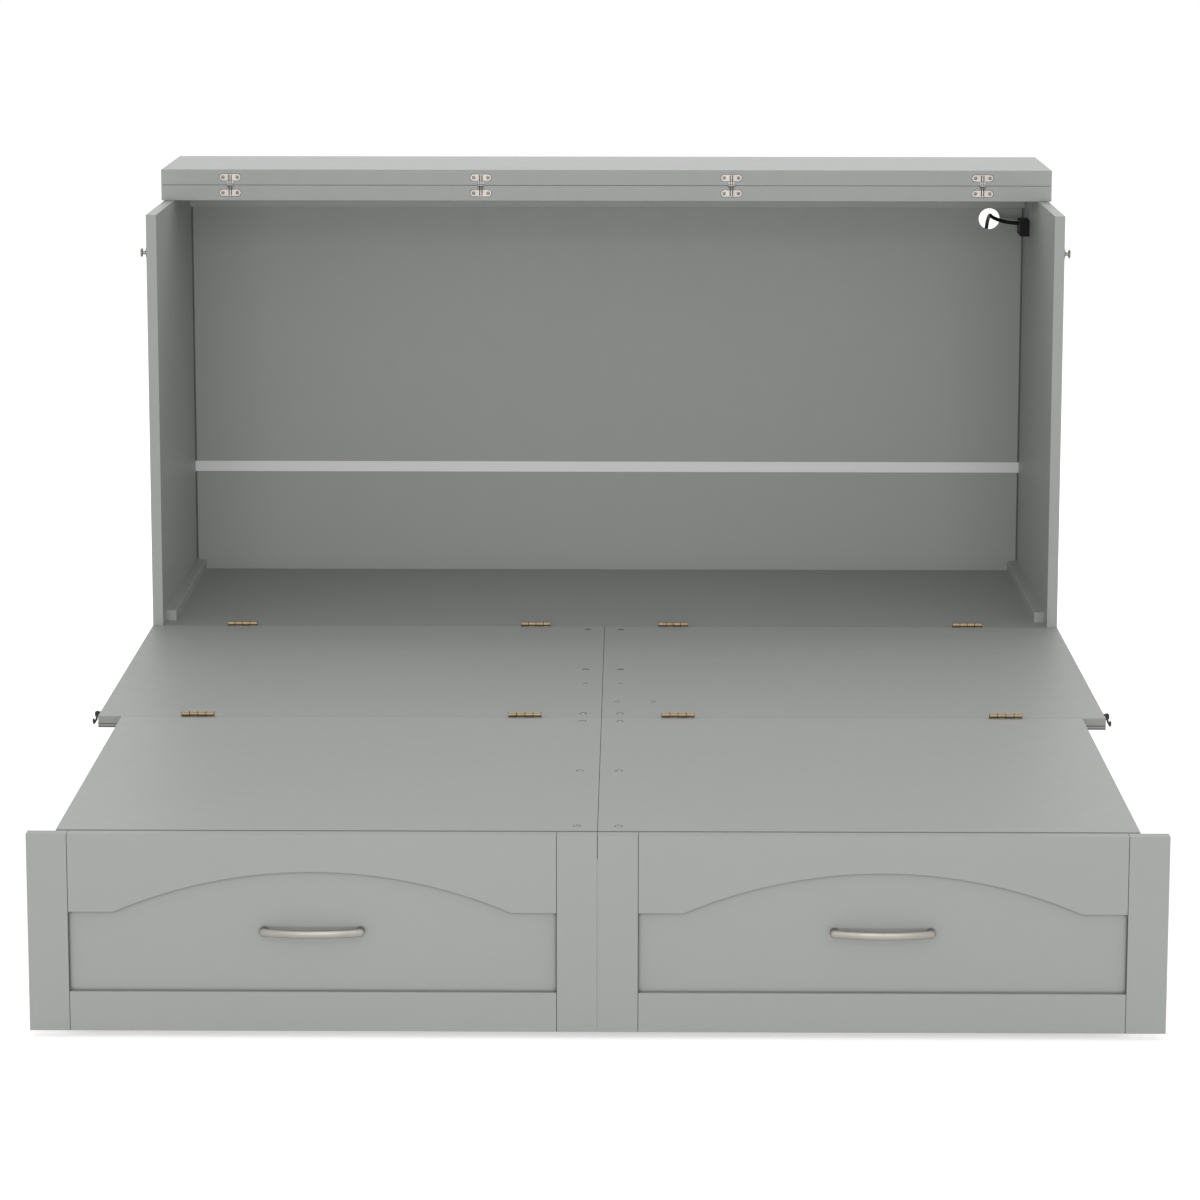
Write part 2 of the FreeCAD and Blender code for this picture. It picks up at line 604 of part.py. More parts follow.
def cabinet_glides():
    """Round plastic glides under the side panels and the partition."""
    out = []
    for x in (-HALF_WIDTH + SIDE_BOARD / 2, 0, HALF_WIDTH - SIDE_BOARD / 2):
        for y in (FOLD_1 + GLIDE_INSET, BACK_FACE - GLIDE_INSET):
            disc = rod(V(x, y, 0), V(0, 0, 1), GLIDE_RADIUS, GLIDE_HEIGHT)
            out.append(disc.makeChamfer(1.0, [e for e in disc.Edges if e.BoundBox.ZMax < 0.1]))
    return out


def latch_stud():
    """The stud on the outside of the right panel: a flange, a neck for the hook and a round knob."""
    neck, knob, end = STUD_FLANGE_THICK, STUD_REACH - STUD_KNOB_THICK, STUD_REACH
    ease = 1.2
    points = [(-STUD_ROOT_LENGTH, 0), (-STUD_ROOT_LENGTH, STUD_ROOT), (0, STUD_ROOT),
              (0, STUD_FLANGE), (neck / 2, STUD_FLANGE), (neck, STUD_FLANGE - 2 * ease),
              (neck, STUD_NECK), (knob, STUD_NECK), (knob, STUD_KNOB - ease),
              (knob + ease, STUD_KNOB), (end - ease, STUD_KNOB), (end, STUD_KNOB - ease), (end, 0)]
    spots = [V(HALF_WIDTH + out, STUD_Y, STUD_HEIGHT + r) for out, r in points]
    outline = Part.makePolygon(spots + spots[:1])
    return Part.Face(outline).revolve(V(HALF_WIDTH, STUD_Y, STUD_HEIGHT), V(1, 0, 0), 360)


def usb_charger():
    """The charger: a housing through the right panel, with a bezel and two ports outside."""
    rear, bottom = charger_place()
    gap = CHARGER_FIT
    body = block(INNER_X - CHARGER_INSIDE, HALF_WIDTH, rear - CHARGER_LENGTH + gap, rear - gap,
                 bottom + gap, CHARGER_TOP - gap)
    edges = [e for e in parallel_edges(body, V(0, 1, 0)) if e.Vertexes[0].X < INNER_X]
    body = body.makeFillet(CHARGER_ROUND, edges)
    middle_y, middle_z = rear - CHARGER_LENGTH / 2, CHARGER_TOP - CHARGER_HEIGHT / 2
    bezel = block(HALF_WIDTH, HALF_WIDTH + BEZEL_PROUD, middle_y - BEZEL_LENGTH / 2,
                  middle_y + BEZEL_LENGTH / 2, middle_z - BEZEL_HEIGHT / 2, middle_z + BEZEL_HEIGHT / 2)
    bezel = bezel.makeFillet(BEZEL_CORNER, parallel_edges(bezel, V(1, 0, 0)))
    rim = [e for e in bezel.Edges if e.BoundBox.XMin > HALF_WIDTH + BEZEL_PROUD - 0.1]
    bezel = bezel.makeFillet(BEZEL_ROUND, rim)
    charger = body.fuse(bezel).removeSplitter()
    for s in (-1, 1):
        y = middle_y + s * PORT_SPACING / 2
        port = block(HALF_WIDTH + BEZEL_PROUD - PORT_DEPTH, HALF_WIDTH + BEZEL_PROUD + 1,
                     y - PORT_LENGTH / 2, y + PORT_LENGTH / 2,
                     middle_z - PORT_HEIGHT / 2, middle_z + PORT_HEIGHT / 2)
        charger = charger.cut(port)
    return charger


# ---- lid ------------------------------------------------------------------------------------
def lid_half(moving):
    """One half of the lid. The front half lies folded back on the rear one."""
    low = SIDE_TOP + (LID_BOARD + LID_SEAM if moving else 0)
    half = LID_WIDTH / 2
    slab = block(-half, half, LID_FRONT, LID_BACK, low, low + LID_BOARD)
    slab = slab.makeFillet(EASED_EDGE, slab.Edges)
    cuts = [lid_mortise(x, moving) for x in lid_hinge_places()]
    return slab.cut(Part.Compound(cuts))


# ---- folding platform -------------------------------------------------------------------------
def middle_holes(catch):
    """Every bolt hole of one half of the first section; only the right half carries the catch."""
    holes = [bolt(x, y, HOLE_FIT) for x, y in section_bolts(FOLD_1, FOLD_2)]
    places = small_bolt_places() if catch else small_bolt_places()[:2]
    holes += [small_bolt(x, y, HOLE_FIT) for x, y in places]
    return holes + leaf_mortise(FOLD_1, True) + leaf_mortise(FOLD_2, False)


def middle_panel(catch):
    """The right half of the first folding section, or the left one before it is mirrored."""
    board = block(HALF_SEAM / 2, HALF_WIDTH, FOLD_2 + SEAM / 2, FOLD_1 - SEAM / 2,
                  FOLD_UNDER, PLATFORM_TOP)
    screw = rod(V(HALF_WIDTH - HOOK_SCREW_LENGTH - HOLE_FIT, HOOK_Y, HOOK_Z), V(1, 0, 0),
                HOOK_SCREW + HOLE_FIT, HOOK_SCREW_LENGTH + 1)
    return board.cut(Part.Compound(middle_holes(catch) + [screw]))


def middle_frame(catch):
    """The face frame of one half of the closed front: two stiles with two rails between them."""
    x0, x1 = HALF_SEAM / 2, HALF_WIDTH
    y0, y1 = FOLD_2 + SEAM / 2, FOLD_1 - SEAM / 2
    w = FRAME_STILE
    stiles = [block(x0, x0 + w, y0, y1, FRAME_UNDER, FOLD_UNDER),
              block(x1 - w, x1, y0, y1, FRAME_UNDER, FOLD_UNDER)]
    rails = [block(x0 + w, x1 - w, y0, y0 + w, FRAME_UNDER, FOLD_UNDER),
             block(x0 + w, x1 - w, y1 - w, y1, FRAME_UNDER, FOLD_UNDER)]
    holes = Part.Compound(middle_holes(catch))
    return [piece.cut(holes) for piece in stiles + rails]


def foot_panel():
    """The right half of the second folding section, bevelled under its free end."""
    reach = FOOT_WIDTH / 2
    board = block(HALF_SEAM / 2, reach, FOOT_END, FOLD_2 - SEAM / 2, FOLD_UNDER, PLATFORM_TOP)
    outside = FOOT_END - 1
    bevel = prism([(-1, outside, PLATFORM_TOP - BEVEL_TOP), (-1, FOOT_END, PLATFORM_TOP - BEVEL_TOP),
                   (-1, FOOT_END + BEVEL_RUN, FOLD_UNDER), (-1, FOOT_END + BEVEL_RUN, FOLD_UNDER - 1),
                   (-1, outside, FOLD_UNDER - 1)], V(reach + 2, 0, 0))
    cuts = leaf_mortise(FOLD_2, True) + [bevel]
    cuts += [bolt(x, y, HOLE_FIT) for x, y in section_bolts(FOLD_2, FOOT_END)]
    return board.cut(Part.Compound(cuts))


def foot_battens():
    """Battens under the second section: one under the centre seam, one along each side."""
    y0, y1 = FOOT_END + 2 * BEVEL_RUN, FOLD_2 - SEAM / 2
    reach = FOOT_WIDTH / 2
    w = FRAME_STILE
    center = block(-w, w, y0, y1, FRAME_UNDER, FOLD_UNDER)
    side = block(reach - w, reach, y0, y1, FRAME_UNDER, FOLD_UNDER)
    holes = [bolt(x, y, HOLE_FIT) for x, y in section_bolts(FOLD_2, FOOT_END)]
    holes += leaf_mortise(FOLD_2, True)
    cutter = Part.Compound(holes)
    return [piece.cut(cutter) for piece in (center, side, mirrored(side))]


# ---- support leg ------------------------------------------------------------------------------
def small_bolt(x, y, clearance=0.0):
    """A small round-headed bolt through the board and the frame."""
    head = rod(V(x, y, PLATFORM_TOP - BOLT_SINK), V(0, 0, 1), SMALL_BOLT_HEAD + clearance,
               BOLT_SINK + BOLT_PROUD / 2)
    length = PLATFORM_TOP - FRAME_UNDER + BRACKET_PLATE + SMALL_BOLT_END
    shank = rod(V(x, y, PLATFORM_TOP - length), V(0, 0, 1), SMALL_BOLT_SHANK + clearance,
                length - BOLT_SINK / 2)
    return head.fuse(shank).removeSplitter()


def small_bolt_places():
    """Two bolts hold the leg's bracket and two hold its catch."""
    leg = [(s * BOLT_X, LEG_Y) for s in (-1, 1)]
    catch = [(CATCH_X + s * CATCH_SCREW_SPACING / 2, LEG_Y - CATCH_FROM_PIVOT) for s in (-1, 1)]
    return leg + catch


def leg_bracket():
    """A folded steel bracket: a base plate and two ears, with the leg's pin across them."""
    inside = LEG_WIDTH / 2 + LEG_SIDE_PLAY
    outside = inside + BRACKET_WALL
    top = FRAME_UNDER
    half_length, half_width = BRACKET_LENGTH / 2, BRACKET_WIDTH / 2
    base = block(-half_length, half_length, LEG_Y - half_width, LEG_Y + half_width,
                 top - BRACKET_PLATE, top)
    base = base.makeFillet(PLATE_CORNER, parallel_edges(base, V(0, 0, 1)))
    ear = block(inside, outside, LEG_Y - EAR_RADIUS, LEG_Y + EAR_RADIUS, LEG_PIVOT_Z,
                top - BRACKET_PLATE)
    ear = ear.fuse(rod(V(inside, LEG_Y, LEG_PIVOT_Z), V(1, 0, 0), EAR_RADIUS, BRACKET_WALL))
    bracket = base.fuse(ear).fuse(mirrored(ear)).removeSplitter()
    cuts = [small_bolt(x, y, HOLE_FIT) for x, y in small_bolt_places()]
    cuts.append(rod(V(-half_length, LEG_Y, LEG_PIVOT_Z), V(1, 0, 0), LEG_PIN_RADIUS + HOLE_FIT,
                    BRACKET_LENGTH))
    return bracket.cut(Part.Compound(cuts))


def leg_pin():
    """The pin with a flat head outside each ear."""
    reach = LEG_WIDTH / 2 + LEG_SIDE_PLAY + BRACKET_WALL
    pin = rod(V(-reach - 1, LEG_Y, LEG_PIVOT_Z), V(1, 0, 0), LEG_PIN_RADIUS, 2 * reach + 2)
    for s in (-1, 1):
        start = V(s * (reach + HOLE_FIT), LEG_Y, LEG_PIVOT_Z)
        pin = pin.fuse(rod(start, V(s, 0, 0), LEG_PIN_RADIUS + PIN_HEAD_LIP, PIN_HEAD_THICK))
    return pin.removeSplitter()


def leg_catch():
    """A catch beside the folded leg: a plate with a thick pad beyond the stile, and a jaw."""
    y = LEG_Y - CATCH_FROM_PIVOT
    top = FRAME_UNDER
    under = top - CATCH_PLATE
    half = CATCH_SCREW_SPACING / 2 + CATCH_SCREW_MARGIN
    wide = CATCH_WIDTH / 2
    plate = block(CATCH_X - half, CATCH_X + half, y - wide, y + wide, under, top)
    pad = block(HALF_SEAM / 2 + FRAME_STILE + BOARD_FIT, CATCH_X + half, y - wide, y + wide,
                under, FOLD_UNDER)
    plate = plate.fuse(pad).removeSplitter()
    corners = [e for e in parallel_edges(plate, V(0, 0, 1))
               if abs(abs(e.Vertexes[0].X - CATCH_X) - half) < 1e-6]
    plate = plate.makeFillet(PLATE_CORNER, corners)
    edge = LEG_WIDTH / 2 + JAW_PLAY
    back = y - JAW_WIDTH / 2
    tip = LEG_PIVOT_Z - JAW_REACH
    jaw = prism([(edge + JAW_BARB, back, under), (edge + JAW_BARB, back, LEG_PIVOT_Z + JAW_NOSE),
                 (edge, back, LEG_PIVOT_Z), (edge + 2 * JAW_BARB, back, tip),
                 (edge + JAW_NOSE + JAW_BARB, back, tip), (edge + JAW_ROOT, back, under)],
                V(0, JAW_WIDTH, 0))
    catch = plate.fuse(jaw).removeSplitter()
    return catch.cut(Part.Compound([small_bolt(px, py, HOLE_FIT) for px, py in small_bolt_places()]))


def support_leg():
    """The wooden leg: round at its pivot, eased at its foot."""
    half, deep = LEG_WIDTH / 2, LEG_DEPTH / 2
    post = block(-half, half, LEG_Y - deep, LEG_Y + deep, 0, LEG_PIVOT_Z)
    foot = [e for e in parallel_edges(post, V(1, 0, 0)) if e.Vertexes[0].Z < 1]
    post = post.makeFillet(LEG_FOOT_ROUND, foot)
    head = rod(V(-half, LEG_Y, LEG_PIVOT_Z), V(1, 0, 0), deep, LEG_WIDTH)
    bore = rod(V(-half - 1, LEG_Y, LEG_PIVOT_Z), V(1, 0, 0), LEG_PIN_RADIUS + RUNNING, LEG_WIDTH + 2)
    return post.fuse(head).removeSplitter().cut(bore)


# ---- hooks that hold the folded front shut ------------------------------------------------------
def hook_pivot():
    """The right hook's screw with its sleeve, in the edge of the first section."""
    x = HALF_WIDTH
    eye_in = x + HOOK_STANDOFF - HOOK_WIRE
    eye_out = eye_in + 2 * HOOK_WIRE
    sleeve = rod(V(x, HOOK_Y, HOOK_Z), V(1, 0, 0), HOOK_SLEEVE, eye_in - HOOK_SIDE_PLAY - x)
    screw = rod(V(x - HOOK_SCREW_LENGTH, HOOK_Y, HOOK_Z), V(1, 0, 0), HOOK_SCREW,
                HOOK_SCREW_LENGTH + eye_out + HOOK_SIDE_PLAY + 1 - x)
    head = rod(V(eye_out + HOOK_SIDE_PLAY, HOOK_Y, HOOK_Z), V(1, 0, 0), HOOK_HEAD, PIN_HEAD_THICK)
    return sleeve.fuse(screw).fuse(head).removeSplitter()


def stud_from_hook():
    """From the hook's pivot to the stud when the front is shut, and the arm's length."""
    dy = STUD_Y - (FOLD_1 - (AXIS_Z - HOOK_Z))
    dz = STUD_HEIGHT - (AXIS_Z + HOOK_FROM_HINGE)
    return dy, dz, math.hypot(dy, dz)


def hook():
    """The right hook: an eye, a bent wire arm and a curl that goes round the stud's neck."""
    length = stud_from_hook()[2]
    bend = STUD_NECK + HOOK_WIRE + HOOK_PLAY
    x = HALF_WIDTH + HOOK_STANDOFF

    def at(u, v):
        return V(x, HOOK_Y - u, HOOK_Z - v)

    end = math.radians(-HOOK_CURL)
    tip = at(length + bend * math.cos(end), bend * math.sin(end))
    middle = (math.pi / 2 + end) / 2
    knee = at(length + bend * math.cos(middle), bend * math.sin(middle))
    start, shoulder = at(HOOK_EYE * 0.65, HOOK_EYE * 0.2), at(HOOK_SHOULDER, bend)
    arm = [Part.makeLine(start, shoulder), Part.makeLine(shoulder, at(length, bend)),
           Part.Arc(at(length, bend), knee, tip).toShape()]
    along = shoulder - start
    along.normalize()
    ring = Part.Wire([Part.makeCircle(HOOK_WIRE, start, along)])
    wire = Part.Wire(arm).makePipeShell([ring], True, False, 1)
    eye = rod(V(x - HOOK_WIRE, HOOK_Y, HOOK_Z), V(1, 0, 0), HOOK_EYE, 2 * HOOK_WIRE)
    bore = rod(V(x - HOOK_EYE, HOOK_Y, HOOK_Z), V(1, 0, 0), HOOK_SCREW + RUNNING, 2 * HOOK_EYE)
    return eye.fuse(wire).removeSplitter().cut(bore)


# ---- drawers ------------------------------------------------------------------------------------
def drawer_span():
    """The right drawer front's inner and outer edge."""
    return DRAWER_SEAM / 2, DRAWER_SEAM / 2 + DRAWER_WIDTH


def drawer_front_panel():
    x0, x1 = drawer_span()
    panel = block(x0, x1, PANEL_FACE, DRAWER_BACK, DRAWER_BOTTOM, PLATFORM_TOP)
    holes = [rod(V(x, PANEL_FACE - 1, handle_height()), V(0, 1, 0), HANDLE_SCREW + HOLE_FIT,
                 DRAWER_PANEL + 2) for x in handle_posts()]
    return panel.cut(Part.Compound(holes))


def drawer_stiles():
    x0, x1 = drawer_span()
    out = []
    for a, b in ((x0, x0 + STILE_WIDTH), (x1 - STILE_WIDTH, x1)):
        stile = block(a, b, DRAWER_FACE, PANEL_FACE, DRAWER_BOTTOM, PLATFORM_TOP)
        long_edges = [e for e in parallel_edges(stile, V(0, 0, 1)) if e.Vertexes[0].Y < PANEL_FACE - 1]
        out.append(stile.makeFillet(FRAME_ROUND, long_edges))
    return out


def drawer_arched_rail():
    """The top rail: flat beside the stiles, then one circular arch."""
    x0, x1 = drawer_span()
    a, b = x0 + STILE_WIDTH, x1 - STILE_WIDTH
    low = PLATFORM_TOP - TOP_RAIL
    y = DRAWER_FACE

    def at(x, z):
        return V(x, y, z)

    crown = at((a + b) / 2, low + ARCH_RISE)
    left, right = at(a + ARCH_START, low), at(b - ARCH_START, low)
    edges = [Part.makeLine(at(a, PLATFORM_TOP), at(a, low)), Part.makeLine(at(a, low), left),
             Part.Arc(left, crown, right).toShape(), Part.makeLine(right, at(b, low)),
             Part.makeLine(at(b, low), at(b, PLATFORM_TOP)),
             Part.makeLine(at(b, PLATFORM_TOP), at(a, PLATFORM_TOP))]
    rail = Part.Face(Part.Wire(edges)).extrude(V(0, DRAWER_FRAME, 0))
    lower = [e for e in rail.Edges if e.BoundBox.YMax < y + 0.1 and e.BoundBox.ZMax < low + ARCH_RISE + 1]
    return rail.makeChamfer(FRAME_ROUND, lower)


def drawer_bottom_rail():
    x0, x1 = drawer_span()
    rail = block(x0 + STILE_WIDTH, x1 - STILE_WIDTH, DRAWER_FACE, PANEL_FACE,
                 DRAWER_BOTTOM, DRAWER_BOTTOM + BOTTOM_RAIL)
    front = [e for e in parallel_edges(rail, V(1, 0, 0)) if e.Vertexes[0].Y < PANEL_FACE - 1]
    return rail.makeFillet(FRAME_ROUND, front)


def handle_height():
    return DRAWER_BOTTOM + HANDLE_DROP


def handle_posts():
    x0, x1 = drawer_span()
    middle = (x0 + x1) / 2
    reach = HANDLE_SPAN / 2 - HANDLE_WIDTH / 2
    return middle - reach, middle + reach


def drawer_handle():
    """A flat bar bowed outwards between two feet, with a screw stub behind each."""
    left, right = handle_posts()
    z = handle_height()
    outer = DRAWER_FACE - HANDLE_OUT
    end = outer + HANDLE_BOW
    half = HANDLE_WIDTH / 2
    middle = (left + right) / 2
    front = Part.Arc(V(left - half, end, z), V(middle, outer, z), V(right + half, end, z)).toShape()
    back = Part.Arc(V(right + half, end + HANDLE_DEPTH, z), V(middle, outer + HANDLE_DEPTH, z),
                    V(left - half, end + HANDLE_DEPTH, z)).toShape()
    sides = [Part.makeLine(V(right + half, end, z), V(right + half, end + HANDLE_DEPTH, z)),
             Part.makeLine(V(left - half, end + HANDLE_DEPTH, z), V(left - half, end, z))]
    face = Part.Face(Part.Wire([front, sides[0], back, sides[1]]))
    bar = face.extrude(V(0, 0, HANDLE_WIDTH))
    bar.translate(V(0, 0, -half))
    bar = bar.makeFillet(HANDLE_ROUND, [e for e in bar.Edges if e.Length > 30])
    for x in (left, right):
        foot = Part.makeCone(HANDLE_POST + 1.5, HANDLE_POST, PANEL_FACE - end - HANDLE_DEPTH / 3,
                             V(x, PANEL_FACE, z), V(0, -1, 0))
        stub = rod(V(x, DRAWER_BACK, z), V(0, -1, 0), HANDLE_SCREW, DRAWER_PANEL + 1)
        head = rod(V(x, DRAWER_BACK, z), V(0, 1, 0), HANDLE_SCREW_HEAD, HANDLE_HEAD_THICK)
        bar = bar.fuse(foot).fuse(stub).fuse(head)
    return bar.removeSplitter()


def box_span():
    """The right drawer box's inner and outer face."""
    return BOX_CENTER_GAP / 2, INNER_X - BOX_SIDE_GAP


def drawer_box_walls():
    """Two sides and a back, grooved for the bottom."""
    x0, x1 = box_span()
    y0, y1 = DRAWER_BACK, DRAWER_BACK + DRAWER_DEPTH
    sides = [block(a, a + BOX_BOARD, y0, y1, BOX_BOTTOM, BOX_TOP) for a in (x0, x1 - BOX_BOARD)]
    back = block(x0 + BOX_BOARD, x1 - BOX_BOARD, y1 - BOX_BOARD, y1, BOX_BOTTOM, BOX_TOP)
    groove = drawer_box_bottom(GROOVE_FIT)
    return [piece.cut(groove) for piece in sides + [back]]


def drawer_box_bottom(clearance=0.0):
    x0, x1 = box_span()
    sunk = BOX_BOARD - FLOOR_GRIP - clearance
    low = BOX_BOTTOM + FLOOR_HEIGHT
    return block(x0 + sunk, x1 - sunk, DRAWER_BACK, DRAWER_BACK + DRAWER_DEPTH - sunk,
                 low - clearance, low + BOX_FLOOR + clearance)


def wheel_places():
    """Middle of each wheel of the right drawer, front pair then rear pair."""
    x0, x1 = box_span()
    inset = BOX_BOARD / 2
    rows = (DRAWER_BACK + CASTER_INSET, DRAWER_BACK + DRAWER_DEPTH - CASTER_INSET)
    return [[(x, y) for x in (x0 + inset, x1 - inset)] for y in rows]


def caster_fork(x, y):
    """A fixed caster: a plate under the box wall, two cheeks and the wheel's axle."""
    inside = WHEEL_WIDTH / 2 + WHEEL_PLAY
    outside = inside + FORK_PLATE
    half_length = FORK_LENGTH / 2
    top = BOX_BOTTOM - FORK_PLATE
    plate = block(x - outside, x + outside, y - half_length, y + half_length, top, BOX_BOTTOM)
    plate = plate.makeFillet(FORK_CORNER, parallel_edges(plate, V(0, 0, 1)))
    tip = WHEEL_RADIUS - CHEEK_TIP
    for a in (-outside, inside):
        cheek = prism([(x + a, y - CHEEK_ROOT, top), (x + a, y + CHEEK_ROOT, top),
                       (x + a, y + CHEEK_TIP, tip), (x + a, y - CHEEK_TIP, tip)],
                      V(FORK_PLATE, 0, 0))
        plate = plate.fuse(cheek)
    axle = rod(V(x - outside - 1, y, WHEEL_RADIUS), V(1, 0, 0), AXLE_RADIUS, 2 * outside + 2)
    return plate.fuse(axle).removeSplitter()


def caster_wheel(x, y):
    """A wheel with a rounded tread and a dished hub."""
    half = WHEEL_WIDTH / 2
    wheel = rod(V(x - half, y, WHEEL_RADIUS), V(1, 0, 0), WHEEL_RADIUS, WHEEL_WIDTH)
    wheel = wheel.makeFillet(WHEEL_ROUND, [e for e in wheel.Edges if e.Length > 6 * WHEEL_RADIUS])
    for s in (-1, 1):
        floor = V(x + s * (half - DISH_DEPTH), y, WHEEL_RADIUS)
        dish = rod(floor, V(s, 0, 0), DISH_RADIUS, DISH_DEPTH)
        hub = rod(floor, V(s, 0, 0), HUB_RADIUS, DISH_DEPTH)
        wheel = wheel.cut(dish.cut(hub))
    bore = rod(V(x - half - 1, y, WHEEL_RADIUS), V(1, 0, 0), AXLE_RADIUS + RUNNING, WHEEL_WIDTH + 2)
    return wheel.cut(bore)


def save_drawer(side, place):
    """Writes one drawer's nodes; the left one is the right one mirrored."""
    def put(name, *solids):
        save(f"{side}_drawer_{name}", *[place(s) for s in solids])

    put("front_panel", drawer_front_panel())
    put("stiles", *drawer_stiles())
    put("arched_rail", drawer_arched_rail())
    put("bottom_rail", drawer_bottom_rail())
    put("handle", drawer_handle())
    put("box_walls", *drawer_box_walls())
    put("box_bottom", drawer_box_bottom())
    rows = wheel_places()
    put("caster_forks", *[caster_fork(x, y) for row in rows for x, y in row])
    for row, name in zip(rows, ("front_wheels", "rear_wheels")):
        put(name, *[caster_wheel(x, y) for x, y in row])


# ---- charger cord -------------------------------------------------------------------------------
def cord_points():
    """The cord's route from the charger, out through the back and down behind it to the coil."""
    out = INNER_X - CHARGER_INSIDE
    x, y = HOLE_X, BACK_FACE
    return [V(out, y - 76, 976), V(out - 16, y - 76, 976), V(x + 16.5, y - 70, 977),
            V(x + 5.5, y - 58.5, 980), V(x, y - 43.5, 984), V(x, y - 25, 987.5),
            V(x - 0.5, y - 7, 988), V(x - 1.5, y + 9.5, 981), V(x - 2.5, y + 22, 968.5),
            V(x - 3.5, y + 29, 952), V(x - 4.5, y + 30.5, 930), V(x - 5, y + 31, 896),
            V(x - 5.5, y + 31.5, 836), V(x - 6.5, y + 32, 745), V(x - 8, y + 32.5, 648),
            V(x - 10, y + 33, 550), V(x - 12.5, y + 33.5, 452), V(x - 15.5, y + 34, 356),
            V(x - 18.5, y + 35, 266), V(x - 21, y + 36, 186), V(x - 22.5, y + 37, 124),
            V(x - 23.5, y + 38.5, 79), V(x - 24, y + 41, 48), V(x - 24, y + 50, 27.5),
            V(x - 24.5, y + 65.5, 11.5), V(x - 24.5, y + 86, CORD_RADIUS),
            V(x - 24, y + 107, CORD_RADIUS)]


def rounded_route(points):
    """Straight runs joined by tangent arcs, each as large as its two runs allow."""
    edges, radii = [], []
    at = points[0]
    for a, b, c in zip(points, points[1:], points[2:]):
        before, after = (b - a), (c - b)
        shorter = min(before.Length, after.Length)
        before.normalize()
        after.normalize()
        half = before.getAngle(after) / 2
        cut = 0.45 * shorter
        radius = cut / math.tan(half)
        start, end = b - before * cut, b + after * cut
        inward = after - before
        inward.normalize()
        middle = b + inward * (radius / math.cos(half) - radius)
        edges.append(Part.makeLine(at, start))
        edges.append(Part.Arc(start, middle, end).toShape())
        radii.append(radius)
        at = end
    edges.append(Part.makeLine(at, points[-1]))
    return Part.Wire(edges), radii


def tube(route, radius, start, along):
    """A round tube along a route, as a solid."""
    ring = Part.Wire([Part.makeCircle(radius, start, along)])
    return route.makePipeShell([ring], True, False, 0)


def charger_cord():
    points = cord_points()
    route, radii = rounded_route(points)
    cord = tube(route, CORD_RADIUS, points[0], points[1] - points[0])
    wanted = math.pi * CORD_RADIUS ** 2 * route.Length
    print("cord: length %.0f, least radius %.0f, volume ratio %.4f"
          % (route.Length, min(radii), cord.Volume / wanted))
    return cord


def coil_frame():
    """Where the coil starts and which way the cord enters it."""
    points = cord_points()
    start = points[-1]
    along = points[-1] - points[-2]
    along.z = 0
    along.normalize()
    return start, along


def coil_stations():
    """Points and directions a quarter turn apart: in along the lower layer, up, and out again."""
    start, along = coil_frame()
    side = V(along.y, -along.x, 0)
    lead = 2 * CORD_RADIUS
    entry = start + along * lead
    center = entry + side * COIL_RADIUS
    pitch = 2 * CORD_RADIUS + COIL_GAP
    quarters = int(round(COIL_TURNS * 4))
    inner = COIL_RADIUS - pitch * COIL_TURNS
    stations = []
    for k in range(2 * quarters + 3):
        turn = k * math.pi / 2
        if k <= quarters:
            radius, lift = COIL_RADIUS - pitch * k / 4, 0.0
        elif k <= quarters + 2:
            tucked = 0.3 * pitch if k == quarters + 1 else 0.0
            radius, lift = inner - tucked, pitch * (k - quarters) / 2
        else:
            radius, lift = inner + pitch * (k - quarters - 2) / 4, pitch
        outward = side * -math.cos(turn) + along * math.sin(turn)
        forward = side * math.sin(turn) + along * math.cos(turn)
        point = center + outward * radius
        point.z = CORD_RADIUS + lift
        climbing = quarters < k < quarters + 2
        slope = pitch / (math.pi * inner) * 1.5 if climbing else 0.0
        direction = V(forward.x, forward.y, slope)
        direction.normalize()
        stations.append((point, direction))
    return stations


def biarc(p0, t0, p1, t1):
    """Two arcs that leave p0 along t0, meet smoothly and reach p1 along t1."""
    v = p1 - p0
    t = t0 + t1
    a = 2 * (1 - t0.dot(t1))
    b = v.dot(t)
    d = (-b + math.sqrt(b * b + a * v.dot(v))) / a
    joint = (p0 + p1 + (t0 - t1) * d) * 0.5
    edges = []
    for p, q, start_tangent in ((p0, joint, t0), (joint, p1, None)):
        chord = q - p
        if start_tangent is None:
            start_tangent = t1 - chord * (2 * t1.dot(chord) / chord.dot(chord))
            start_tangent = start_tangent * -1
        edges.append(Part.Arc(p, arc_middle(p, q, start_tangent), q).toShape())
    return edges


def arc_middle(p, q, tangent):
    """The middle point of the arc from p to q that starts along tangent."""
    chord = q - p
    half = tangent.getAngle(chord)
    sideways = tangent - chord * (tangent.dot(chord) / chord.dot(chord))
    sideways.normalize()
    rise = chord.Length / 2 * math.tan(half / 2)
    return (p + q) * 0.5 + sideways * rise


def coil_route():
    """The whole wound route, with one cord diameter straight at both ends."""
    start = coil_frame()[0]
    stations = coil_stations()
    edges = [Part.makeLine(start, stations[0][0])]
    for (p0, t0), (p1, t1) in zip(stations, stations[1:]):
        edges += biarc(p0, t0, p1, t1)
    last, along = stations[-1]
    edges.append(Part.makeLine(last, last + along * 2 * CORD_RADIUS))
    return Part.Wire(edges), last + along * 2 * CORD_RADIUS, along


def least_gap(route):
    """The least clear distance between turns, on points along the route."""
    step = 3.0
    points = route.discretize(Distance=step)
    skip = int(8 * CORD_RADIUS / step)
    least = 1e9
    for i, p in enumerate(points):
        for q in points[i + skip:]:
            least = min(least, p.distanceToPoint(q))
    return least - 2 * CORD_RADIUS


